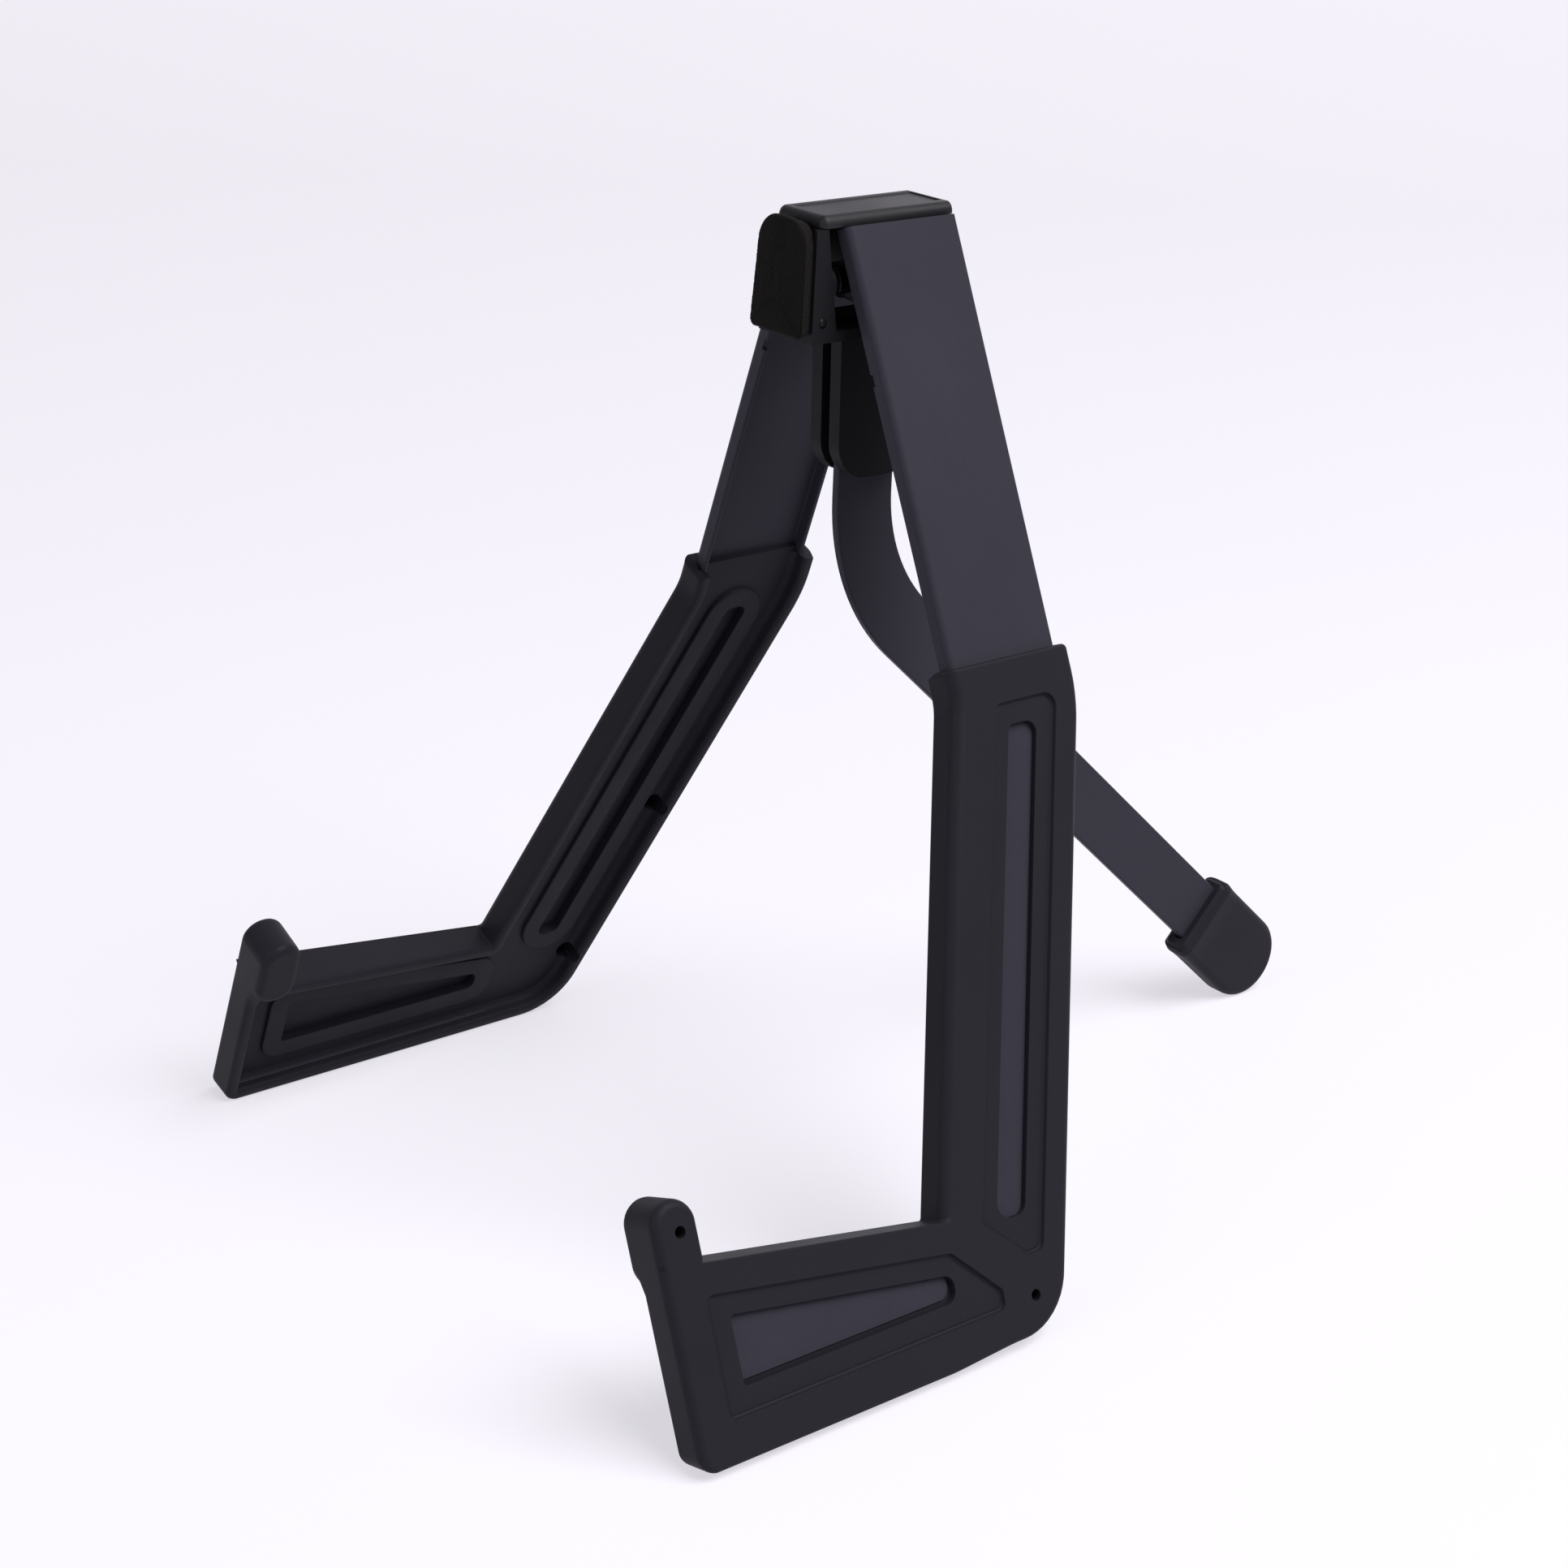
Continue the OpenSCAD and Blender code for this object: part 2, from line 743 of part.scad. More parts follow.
// Rubber boot: skin, rim, lining, shelf and hook around the metal
module boot() {
    difference() {
        union() {
            difference() {
                linear_extrude(rim_depth) polygon(leg_outline(0, mouth_at));
                translate([0, 0, lining_in])
                    linear_extrude(rim_depth)
                    polygon(leg_outline(rim_w, mouth_at - over));
            }
            shelf();
            hook();
        }
        metal_body();
        translate([0, 0, -over])
            linear_extrude(over + panel_depth) {
                polygon(shin_panel());
                polygon(foot_panel());
            }
        translate([0, 0, -over])
            linear_extrude(over + skin + 0.01) {
                polygon(shin_slot(slot_w));
                polygon(foot_window(0));
            }
        translate([0, 0, metal_in - 0.01])
            linear_extrude(lining + over) {
                polygon(shin_slot(slot_w - 2 * slot_trim));
                polygon(foot_window(window_trim));
            }
        for (p = rim_pockets)
            translate([p[0], p[1], flange_tip])
                cylinder(r = rim_pocket_r, h = rim_depth);
        translate([heel_hole[0], heel_hole[1], -over])
            cylinder(r = mould_hole_r, h = rim_depth);
        translate([hook_hole[0], hook_hole[1], -over])
            cylinder(r = mould_hole_r, h = hook_depth / 2);
    }
}

// Boot set on the floor, with the edge of its sole worn flat
module standing_boot() {
    difference() {
        leg_plane() boot();
        translate([0, toe_y - over, -sole_flat - over])
            cube([leg_len, cradle + 2 * metal_w, sole_flat + over]);
    }
}

// Ear of the bracket in the leg's plane, as [s, d]: a tapering cheek that ends in the eye
module ear(at) {
    translate([at, 0, 0])
        rotate([90, 0, 90])
        linear_extrude(ear_t)
        union() {
            polygon([[bracket_high, metal_in], [bracket_low, metal_in], [hinge_s + eye_r, hinge_d],
                     [hinge_s - eye_r, hinge_d]]);
            translate([hinge_s, hinge_d]) circle(r = eye_r);
        }
}

module hinge_bracket() {
    difference() {
        union() {
            translate([front_ear, bracket_high, metal_in])
                cube([rear_ear + ear_t - front_ear, bracket_low - bracket_high, bracket_t]);
            ear(front_ear);
            ear(rear_ear);
        }
        translate([front_ear - over, hinge_s, hinge_d])
            rotate([0, 90, 0])
            cylinder(r = hinge_pin_r + pin_clear, h = rear_ear - front_ear + ear_t + 2 * over);
    }
}

module right_leg_channel() {
    color(metal_colour) in_place() leg_plane() leg_channel();
}

module left_leg_channel() {
    color(metal_colour) in_place() left_side() leg_plane() leg_channel();
}

module right_leg_cover() {
    color(rubber_colour) in_place() standing_boot();
}

module left_leg_cover() {
    color(rubber_colour) in_place() left_side() standing_boot();
}

module right_hinge_bracket() {
    color(steel_colour) in_place() leg_plane() hinge_bracket();
}

module left_hinge_bracket() {
    color(steel_colour) in_place() left_side() leg_plane() hinge_bracket();
}

// Side view of the rear bar: round eye, upright part, bend, straight part and round end
module bar_outline() {
    arc_middle = [bar_y + bar_bend_r, bar_arc_z];
    function arc_point(r, a) = arc_middle - r * [cos(a), sin(a)];
    half = bar_w / 2;
    inner = bar_bend_r - half;
    outer = bar_bend_r + half;
    bend_steps = 16;
    end_steps = 24;
    step = bar_bend / bend_steps;
    function end_arc(middle, from) =
        [for (i = [0:end_steps]) let (a = from - i * 180 / end_steps)
            middle + half * [cos(a), sin(a)]];
    polygon(concat(
        end_arc([bar_y, yoke_pin_z], 180),
        [for (i = [0:bend_steps]) arc_point(inner, i * step)],
        end_arc([nose_y, nose_z], bar_bend),
        [for (i = [bend_steps:-1:0]) arc_point(outer, i * step)]));
}

module rear_leg_bar() {
    color(metal_colour)
        in_place()
        difference() {
            across(bar_t) bar_outline();
            rod_x(sleeve_r, bar_t + over, bar_y, yoke_pin_z);
        }
}

module rear_leg_sleeve() {
    color(nylon_colour)
        in_place()
        difference() {
            rod_x(sleeve_r, yoke_gap - 2 * gap, bar_y, yoke_pin_z);
            rod_x(yoke_pin_r + pin_clear, yoke_w, bar_y, yoke_pin_z);
        }
}

// Rubber cap pushed on the end of the bar, worn flat where it stands
module rear_foot_cap() {
    mouth_corner_r = 2;
    color(rubber_colour)
        in_place()
        difference() {
            across(foot_cap_t)
                translate([nose_y, nose_z])
                rotate(90 + bar_bend) {
                    circle(r = nose_r, $fn = 96);
                    polygon(rounded(
                        [[0, -nose_r], [foot_cap_len, -nose_r], [foot_cap_len, nose_r], [0, nose_r]],
                        [0, mouth_corner_r, mouth_corner_r, 0]));
                }
            across(bar_t) bar_outline();
            translate([-foot_cap_t / 2 - over, nose_y - nose_r, -foot_flat - over])
                cube([foot_cap_t + 2 * over, 2 * nose_r, foot_flat + over]);
        }
}

head_cap();
head_housing();
pad_backing_plate();
foam_pad();
pad_cross_pin();
rear_yoke();
yoke_screws();
rear_leg_pin();
right_hinge_pin();
left_hinge_pin();
right_hinge_spacers();
left_hinge_spacers();
right_leg_channel();
right_leg_cover();
right_hinge_bracket();
left_leg_channel();
left_leg_cover();
left_hinge_bracket();
rear_leg_bar();
rear_leg_sleeve();
rear_foot_cap();
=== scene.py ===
"""A folding guitar stand: sheet-metal legs in rubber boots, a bent rear bar and a padded plastic head."""

import bmesh
import bpy
import numpy as np
from mathutils import Matrix, Vector
from mathutils.geometry import delaunay_2d_cdt


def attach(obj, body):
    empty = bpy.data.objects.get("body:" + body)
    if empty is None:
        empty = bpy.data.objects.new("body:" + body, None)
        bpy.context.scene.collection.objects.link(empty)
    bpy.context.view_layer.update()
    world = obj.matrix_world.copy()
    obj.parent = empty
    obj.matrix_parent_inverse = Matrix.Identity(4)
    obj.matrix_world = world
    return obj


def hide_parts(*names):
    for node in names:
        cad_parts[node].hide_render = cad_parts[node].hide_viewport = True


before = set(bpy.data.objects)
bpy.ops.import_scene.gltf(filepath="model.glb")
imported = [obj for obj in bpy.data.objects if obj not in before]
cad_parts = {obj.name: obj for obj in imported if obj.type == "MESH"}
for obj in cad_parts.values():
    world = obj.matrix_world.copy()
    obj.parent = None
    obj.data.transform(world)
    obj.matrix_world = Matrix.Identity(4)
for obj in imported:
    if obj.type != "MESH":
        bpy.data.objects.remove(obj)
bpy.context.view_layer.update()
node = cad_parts

# Camera: a long lens in front of the guitar stand, to its right and a little above it. Its place, aim,
# roll and angle come from matching the stand's edges in perspective. Lengths are in metres.
EYE = np.array([0.66583, -0.58443, 0.46554])
YAW, PITCH, ROLL = np.radians([51.193, 21.705, 2.080])
FIELD_OF_VIEW = np.radians(29.02)

ahead = np.array([-np.sin(YAW) * np.cos(PITCH), np.cos(YAW) * np.cos(PITCH), -np.sin(PITCH)])
level = np.array([np.cos(YAW), np.sin(YAW), 0.0])
upright = np.cross(level, ahead)
right = level * np.cos(ROLL) + upright * np.sin(ROLL)
up = upright * np.cos(ROLL) - level * np.sin(ROLL)

camera = bpy.data.objects.new("camera", bpy.data.cameras.new("camera"))
bpy.context.scene.collection.objects.link(camera)
camera.data.sensor_fit = "HORIZONTAL"
camera.data.angle = FIELD_OF_VIEW
placed = np.eye(4)
placed[:3, :4] = np.column_stack([right, up, -ahead, EYE])
camera.matrix_world = Matrix(placed.tolist())
bpy.context.scene.camera = camera


# Table: a wide sheet of bleached cotton, laid flat under the stand and drawn up behind it in one
# round sweep. Lengths are in metres.
CLOTH_HALF, SWEEP_START, SWEEP_R = 4.0, 1.6, 1.2
CLOTH_GLOW, FAR_GLOW, GLOW_NEAR, GLOW_FAR = 0.63, 1.16, 0.7, 3.0
CREASES_PER_M, CREASE_DEPTH = 4.0, 0.02


def linear(colour):
    """Turns an sRGB hex colour into the linear RGBA that shaders take."""
    value = np.array([int(colour[i:i + 2], 16) for i in (1, 3, 5)]) / 255
    value = np.where(value <= 0.04045, value / 12.92, ((value + 0.055) / 1.055) ** 2.4)
    return (*value.tolist(), 1.0)


def add(tree, kind, settings=None, inputs=None):
    """Adds one node with its settings, and fills or links its inputs by name or number."""
    made = tree.nodes.new(kind)
    for name, value in (settings or {}).items():
        setattr(made, name, value)
    for name, value in (inputs or {}).items():
        if isinstance(value, bpy.types.NodeSocket):
            tree.links.new(value, made.inputs[name])
        else:
            made.inputs[name].default_value = value
    return made


def new_material(name):
    """An empty material with its node tree, and the shader that every finish starts from."""
    material = bpy.data.materials.new(name)
    material.use_nodes = True
    tree = material.node_tree
    tree.nodes.clear()
    shader = add(tree, "ShaderNodeBsdfPrincipled")
    add(tree, "ShaderNodeOutputMaterial", inputs={"Surface": shader.outputs[0]})
    return material, tree, shader


def new_object(name, vertices, faces):
    """A mesh object at the origin, from its vertices and its faces' lists of vertex numbers."""
    mesh = bpy.data.meshes.new(name)
    mesh.from_pydata(vertices, [], faces)
    mesh.update()
    made = bpy.data.objects.new(name, mesh)
    bpy.context.scene.collection.objects.link(made)
    return made


# Bleached cotton, plain woven: matt and nearly white, with a cool lavender cast and soft, faint
# creases. It glows a little where it is seen, more so far away, but lights nothing with that, so it
# looks as white as a sheet by a window and keeps the stand's shadows.
cotton, tree, shader = new_material("woven_cotton")
shader.inputs["Base Color"].default_value = linear("#b2b0b8")
shader.inputs["Roughness"].default_value = 0.9
shader.inputs["Specular IOR Level"].default_value = 0.1
shader.inputs["Emission Color"].default_value = linear("#fbf8ff")
place = add(tree, "ShaderNodeTexCoord")
seen = add(tree, "ShaderNodeLightPath")
direct = add(tree, "ShaderNodeMath", {"operation": "MAXIMUM"}, {
    0: seen.outputs["Is Camera Ray"], 1: seen.outputs["Is Glossy Ray"]})
clear = add(tree, "ShaderNodeMath", {"operation": "MAXIMUM"}, {
    0: direct.outputs[0], 1: seen.outputs["Is Transmission Ray"]})
away = add(tree, "ShaderNodeVectorMath", {"operation": "LENGTH"}, {0: place.outputs["Object"]})
rising = add(tree, "ShaderNodeMapRange", inputs={
    "Value": away.outputs["Value"], "From Min": GLOW_NEAR, "From Max": GLOW_FAR,
    "To Min": CLOTH_GLOW, "To Max": CLOTH_GLOW * FAR_GLOW})
glow = add(tree, "ShaderNodeMath", {"operation": "MULTIPLY"}, {
    0: clear.outputs[0], 1: rising.outputs["Result"]})
tree.links.new(glow.outputs[0], shader.inputs["Emission Strength"])
creases = add(tree, "ShaderNodeTexNoise", inputs={
    "Vector": place.outputs["Object"], "Scale": CREASES_PER_M, "Detail": 3.0})
crease_bump = add(tree, "ShaderNodeBump", inputs={
    "Height": creases.outputs["Fac"], "Strength": 0.08, "Distance": CREASE_DEPTH})
tree.links.new(crease_bump.outputs["Normal"], shader.inputs["Normal"])

# The sheet's profile is flat, then a quarter of a circle, then upright, and is carried straight
# across; the whole is turned to face the camera.
turn = np.linspace(0, np.pi / 2, 24)
run = np.concatenate([[-CLOTH_HALF], SWEEP_START + SWEEP_R * np.sin(turn), [SWEEP_START + SWEEP_R]])
rise = np.concatenate([[0.0], SWEEP_R * (1 - np.cos(turn)), [CLOTH_HALF]])
across = np.array([-CLOTH_HALF, CLOTH_HALF])
grid = np.stack(np.broadcast_arrays(across[:, None], run[None, :], rise[None, :]), axis=-1).reshape(-1, 3)
first = np.arange(len(run) - 1)
strips = np.stack([first, first + len(run), first + len(run) + 1, first + 1], axis=1)
cloth = new_object("cloth", grid.tolist(), strips.tolist())
cloth.data.transform(Matrix.Rotation(float(YAW), 4, "Z"))
cloth.data.materials.append(cotton)
cloth.data.shade_smooth()


# Light: a pale room with two large windows, one high on the right and a little behind, and a weaker
# one far in front. Both are soft, so shadows fade within a few centimetres. Lengths are in metres.
AIMED_AT, WINDOW_SIZE = np.array([0, 0, 0.12]), 2.0

world = bpy.data.worlds.new("window_light")
world.use_nodes = True
world.node_tree.nodes.clear()
sky = add(world.node_tree, "ShaderNodeBackground", inputs={"Color": linear("#f7f5ff"), "Strength": 0.13})
add(world.node_tree, "ShaderNodeOutputWorld", inputs={"Surface": sky.outputs[0]})
bpy.context.scene.world = world


def window(name, place, power):
    """A soft square lamp at place, turned to shine on the middle of the stand."""
    lamp = bpy.data.lights.new(name, "AREA")
    lamp.shape, lamp.size, lamp.energy = "SQUARE", WINDOW_SIZE, power
    made = bpy.data.objects.new(name, lamp)
    bpy.context.scene.collection.objects.link(made)
    back = (place - AIMED_AT) / np.linalg.norm(place - AIMED_AT)
    side = np.cross([0, 0, 1], back)
    side = side / np.linalg.norm(side)
    turned = np.eye(4)
    turned[:3, :4] = np.column_stack([side, np.cross(back, side), back, place])
    made.matrix_world = Matrix(turned.tolist())


window("skylight", np.array([1.35, 0.6, 2.3]), 68)
window("front_window", np.array([0.2, -2.6, 1.4]), 15)


# Front legs: each is pressed from 1.5 mm steel, a flat web whose edge is folded inwards all round but
# for its open top, and powder coated. It is drawn in its own plane in mm: y runs back, s down the leg
# from its top, and d inwards from just under the face of the boot that covers its lower part.
PER_M = 1000
SPLAY, LEG_TOP_X, TOP_Z, LEGS_Y = np.radians(22.1), 13.85, 299.992, -23.9615
UPPER_LEAN, SHIN_LEAN, SHELF_RISE = np.radians([2.2, 16.5, 9.2])
BEND_AT, MOUTH, SHELF_AT, SOLE = 143, 130.2, 279.5, 319.8
BOOT_HALF, CRADLE, FINGER_T = 23, 79.3, 14
METAL_HALF, METAL_TOP, METAL_SIDE, BLANK_TOP = 20, 2.5, 3, -14
WEB, SHEET, FOLD, FOLD_R, FOLD_IN_R, TIP_R = 1.5, 1.5, 5.6, 2.2, 0.7, 0.5
FOLD_TIP = WEB + FOLD

# The notch in the front fold, the holes that the boot's mould leaves and the windows over the metal;
# then how far a cutter reaches past the leg, and how many sides a bore has
NOTCH_TOP, NOTCH_FOOT, NOTCH_DEPTH, NOTCH_OUT, NOTCH_IN = 44, 47.5, 1.2, 2, 2.5
HOLE_R, HOLE_END, HEEL_HOLE_BACK, HEEL_HOLE_UP = 1.7, 4, 27, 11
POCKET_R, POCKET_END, POCKET_IN, POCKETS_UP = 3.2, 14, 6.2, (86.5, 22.9)
SLOT_MIDDLE, SLOT_W, SLOT_TOP, SLOT_FOOT = 2.2, 9.6, 19.6, 34.6
WINDOW_TOE, WINDOW_SHELF, WINDOW_SOLE, WINDOW_RADII = 18.7, 15.1, 17.6, [1.2, 3.3, 3.3, 0.8]
SINK_W, SINK_R, SINK_DEPTH, SINK_GROWN, WINDOW_SKIN, WINDOW_GROWN = 8, 2.6, 0.8, 0.1, 0.2, 0.2
PLATE_GAP, PLATE_SHIFT = 0.1, [-1.1, -1.2, 0]
REACH_Y, REACH_UP, REACH_OUT, REACH_IN, BORE_SIDES = 60, 50, 10, 20, 40


def unit(v):
    """Vectors scaled to length one along their last axis."""
    return v / np.linalg.norm(v, axis=-1, keepdims=True)


def cross(u, v):
    """Cross product in the plane: the first of u by the second of v, less the second by the first."""
    return u[..., 0] * v[..., 1] - u[..., 1] * v[..., 0]


def lean(angle):
    """Direction down the leg that leans back by angle: its sine along y and its cosine along s."""
    return np.array([np.sin(angle), np.cos(angle)])


def meet(p, u, q, v):
    """Point where the line through p along u crosses the line through q along v."""
    u, v = np.array(u), np.array(v)
    return p + u * (cross(np.subtract(q, p), v) / cross(u, v))


SHIN, UPPER = lean(-SHIN_LEAN), lean(UPPER_LEAN)
SHELF, SHELF_DOWN = -lean(np.pi / 2 - SHELF_RISE), lean(-SHELF_RISE)
LEVEL, DOWN = [1, 0], [0, 1]


def bend_point(h):
    """Corner of the line that runs h behind the leg's middle line, on the bisector of its bend."""
    turn = (UPPER_LEAN + SHIN_LEAN) / 2
    mean = (UPPER_LEAN - SHIN_LEAN) / 2
    middle = np.array([BEND_AT * np.tan(UPPER_LEAN), BEND_AT])
    return middle + h / np.cos(turn) * np.array([np.cos(mean), -np.sin(mean)])


def leg_point(part, h, s):
    """Point at height s on the line h behind the middle line of a part of the leg: UPPER or SHIN."""
    return meet(bend_point(h), part, [0, s], LEVEL)


CORNER = leg_point(SHIN, -BOOT_HALF, SHELF_AT)
FINGER_Y = CORNER[0] - CRADLE
TOE_Y = FINGER_Y - FINGER_T


def shelf_point(drop, y):
    """Point of the foot drop below the shelf's surface, at y."""
    return meet(CORNER + SHELF_DOWN * drop, SHELF, [y, 0], DOWN)


def outline(*corners):
    """Corners of a closed outline and the radii that round them, from pairs of corner and radius."""
    points, radii = zip(*corners)
    return np.array(points), np.array(radii)


def shin_slot(width, radii):
    """Outline of the shin's upright window, width across; it shortens as it narrows."""
    trim = (SLOT_W - width) / 2
    high, low = MOUTH + SLOT_TOP + trim, SOLE - SLOT_FOOT - trim
    front, rear = SLOT_MIDDLE - width / 2, SLOT_MIDDLE + width / 2
    return np.array([leg_point(SHIN, front, high), leg_point(SHIN, rear, high),
                     leg_point(SHIN, rear, low), leg_point(SHIN, front, low)]), radii


def foot_window(grown, radii):
    """Outline of the foot's wedge window, moved outwards by grown."""
    toe, heel = TOE_Y + WINDOW_TOE - grown, CORNER[0] + grown
    high, low = WINDOW_SHELF - grown, SOLE - WINDOW_SOLE + grown
    return np.array([shelf_point(high, toe), shelf_point(high, heel), [heel, low], [toe, low]]), radii


def quarter(radius, count):
    """Places on a quarter round, from its side to its top, as pairs of distances.

    The first is the radius times one less the cosine and grows from nothing; the second is the
    radius times one less the sine and shrinks to nothing.
    """
    angle = np.radians(np.linspace(0, 90, count))
    return list(zip(radius * (1 - np.cos(angle)), radius * (1 - np.sin(angle))))


LEAST_R = 0.05


def inset(points, radii, depth, weight=1.0, steps=10, pitch=4.0):
    """Closed outline moved inwards by depth times each side's weight, its corners rounded by arcs.

    A corner moves to where its two moved sides cross; an outer corner's radius shrinks by the depth
    and an inner corner's grows. The arcs have the same number of points whatever the depth, and
    long sides are divided at about pitch. Gives the points, each point's weight, the number of the
    side that it is on, and how far along that side it is.
    """
    points = np.asarray(points, float)
    count = len(points)
    weight = np.broadcast_to(np.asarray(weight, float), count)
    side = unit(np.roll(points, -1, axis=0) - points)
    around = np.sign(np.sum(cross(points, np.roll(points, -1, axis=0))))
    inward = around * np.stack([-side[:, 1], side[:, 0]], axis=1)
    moved = points + inward * (depth * weight)[:, None]
    before, before_side = np.roll(moved, 1, axis=0), np.roll(side, 1, axis=0)
    bend = cross(before_side, side)
    corner = before + before_side * (cross(moved - before, side) / bend)[:, None]
    mean = depth * (weight + np.roll(weight, 1)) / 2
    radius = np.maximum(np.asarray(radii) - np.where(bend * around > 0, mean, -mean), LEAST_R)
    u, v = -before_side, side
    half = np.arccos(np.clip(np.sum(u * v, axis=1), -1, 1)) / 2
    centre = corner + unit(u + v) * (radius / np.sin(half))[:, None]
    start = corner + u * (radius / np.tan(half))[:, None]
    end = corner + v * (radius / np.tan(half))[:, None]
    part = np.linspace(0, 1, steps + 1)[None, :, None]
    spokes = unit((start - centre)[:, None] * (1 - part) + (end - centre)[:, None] * part)
    arc = centre[:, None] + radius[:, None, None] * spokes
    arc_weight = np.roll(weight, 1)[:, None] * (1 - part[..., 0]) + weight[:, None] * part[..., 0]
    length = np.linalg.norm(np.roll(points, -1, axis=0) - points, axis=1)
    pieces, weights, sides, places = [], [], [], []
    for k in range(count):
        inner = np.linspace(0, 1, max(int(length[k] / pitch), 1) + 1)[1:-1, None]
        pieces += [arc[k], end[k] + (start[(k + 1) % count] - end[k]) * inner]
        weights += [arc_weight[k], np.full(len(inner), weight[k])]
        sides += [np.full(steps + 1, k), np.full(len(inner), k)]
        places += [np.zeros(steps + 1), inner[:, 0]]
    return np.concatenate(pieces), np.concatenate(weights), np.concatenate(sides), np.concatenate(places)


def ring(shape, depth, d, steps=6, pitch=40.0, weight=1.0):
    """Ring of points at one height d, inside an outline by depth."""
    plan = inset(*shape, depth, weight, steps, pitch)[0]
    return np.column_stack([plan, np.full(len(plan), d)])


def turn_outwards(piece, merge=None):
    """Turns a closed mesh's faces outwards, after vertices closer than merge are made one."""
    shell = bmesh.new()
    shell.from_mesh(piece.data)
    if merge:
        bmesh.ops.remove_doubles(shell, verts=shell.verts, dist=merge)
        bmesh.ops.delete(shell, geom=[v for v in shell.verts if not v.link_faces], context="VERTS")
    bmesh.ops.recalc_face_normals(shell, faces=shell.faces)
    shell.to_mesh(piece.data)
    shell.free()


def solid(name, points, faces):
    """Closed mesh object from an array of points and lists of faces."""
    made = new_object(name, points.tolist(), faces)
    turn_outwards(made, merge=1e-6)
    return made


def band(count, low, high):
    """Four-sided faces between two rings of count points, whose first points are low and high."""
    i = np.arange(count)
    j = np.roll(i, -1)
    return np.stack([i + low, j + low, j + high, i + high], axis=1).tolist()


def stacked(name, rings):
    """Closed solid from rings of equal counts, one after another, with flat first and last faces."""
    count = len(rings[0])
    faces = sum((band(count, k * count, (k + 1) * count) for k in range(len(rings) - 1)), [])
    last = (len(rings) - 1) * count
    ends = [list(range(count))[::-1], list(range(last, last + count))]
    return solid(name, np.concatenate(rings), faces + ends)


def joined(target, operation, others):
    """Adds other closed solids to target, or cuts them out of it, and removes them."""
    for other in others:
        step = target.modifiers.new("joined", "BOOLEAN")
        step.operation, step.solver, step.object = operation, "MANIFOLD", other
    evaluated = target.evaluated_get(bpy.context.evaluated_depsgraph_get())
    result = bpy.data.meshes.new_from_object(evaluated)
    target.modifiers.clear()
    target.data = result
    for other in others:
        bpy.data.objects.remove(other)


def bore(name, middle, radius, d0, d1):
    """Round cutter along d, from d0 to d1: points at even angles on a circle about its middle."""
    angle = np.linspace(0, 2 * np.pi, BORE_SIDES, endpoint=False)
    plan = np.asarray(middle) + radius * np.stack([np.cos(angle), np.sin(angle)], axis=1)
    return stacked(name, [np.column_stack([plan, np.full(len(plan), d)]) for d in (d0, d1)])


def block(name, low, high):
    """Box between two corners."""
    (y0, s0, d0), (y1, s1, d1) = low, high
    return stacked(name, [np.array([[y0, s0, d], [y1, s0, d], [y1, s1, d], [y0, s1, d]], float)
                          for d in (d0, d1)])


def get_points(piece):
    """The piece's vertices as an array, one row for each."""
    flat = np.empty(3 * len(piece.data.vertices), np.float32)
    piece.data.vertices.foreach_get("co", flat)
    return flat.reshape(-1, 3).astype(float)


def set_points(piece, points):
    """Gives the piece's vertices new places, one row for each."""
    piece.data.vertices.foreach_set("co", points.astype(np.float32).ravel())


def finish(piece, material, sharp=38.0):
    """Gives a new piece its material and slot, and shades it smooth but for edges sharper than sharp."""
    piece.data.set_sharp_from_angle(angle=np.radians(sharp))
    piece.data.materials.clear()
    piece.data.materials.append(material)
    even = piece.modifiers.new("even_shading", "WEIGHTED_NORMAL")
    even.keep_sharp = True


def hang(shape, title, material, cad):
    """Puts a shape made in the leg's plane on both legs, in place of their CAD nodes, and removes it.

    The leg's plane is turned by the splay about the leg's top: s runs outwards with its sine and
    down with its cosine, d runs inwards with its cosine and down with its sine. The left leg is
    mirrored. What would reach under the floor is flat on it, as a worn sole is.
    """
    for side, mirrored in (("right", 1), ("left", -1)):
        made = bpy.data.objects.new(side + title, shape.data.copy())
        bpy.context.scene.collection.objects.link(made)
        y, s, d = get_points(made).T
        x = mirrored * (LEG_TOP_X + s * np.sin(SPLAY) - d * np.cos(SPLAY))
        z = np.maximum(TOP_Z - s * np.cos(SPLAY) - d * np.sin(SPLAY), 0)
        set_points(made, np.stack([x, y + LEGS_Y, z], axis=1) / PER_M)
        if mirrored < 0:
            made.data.flip_normals()
        finish(made, material)
        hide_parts(side + cad)
        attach(made, side + "_leg")
    bpy.data.objects.remove(shape)


PATCHES_PER_M = 22.0


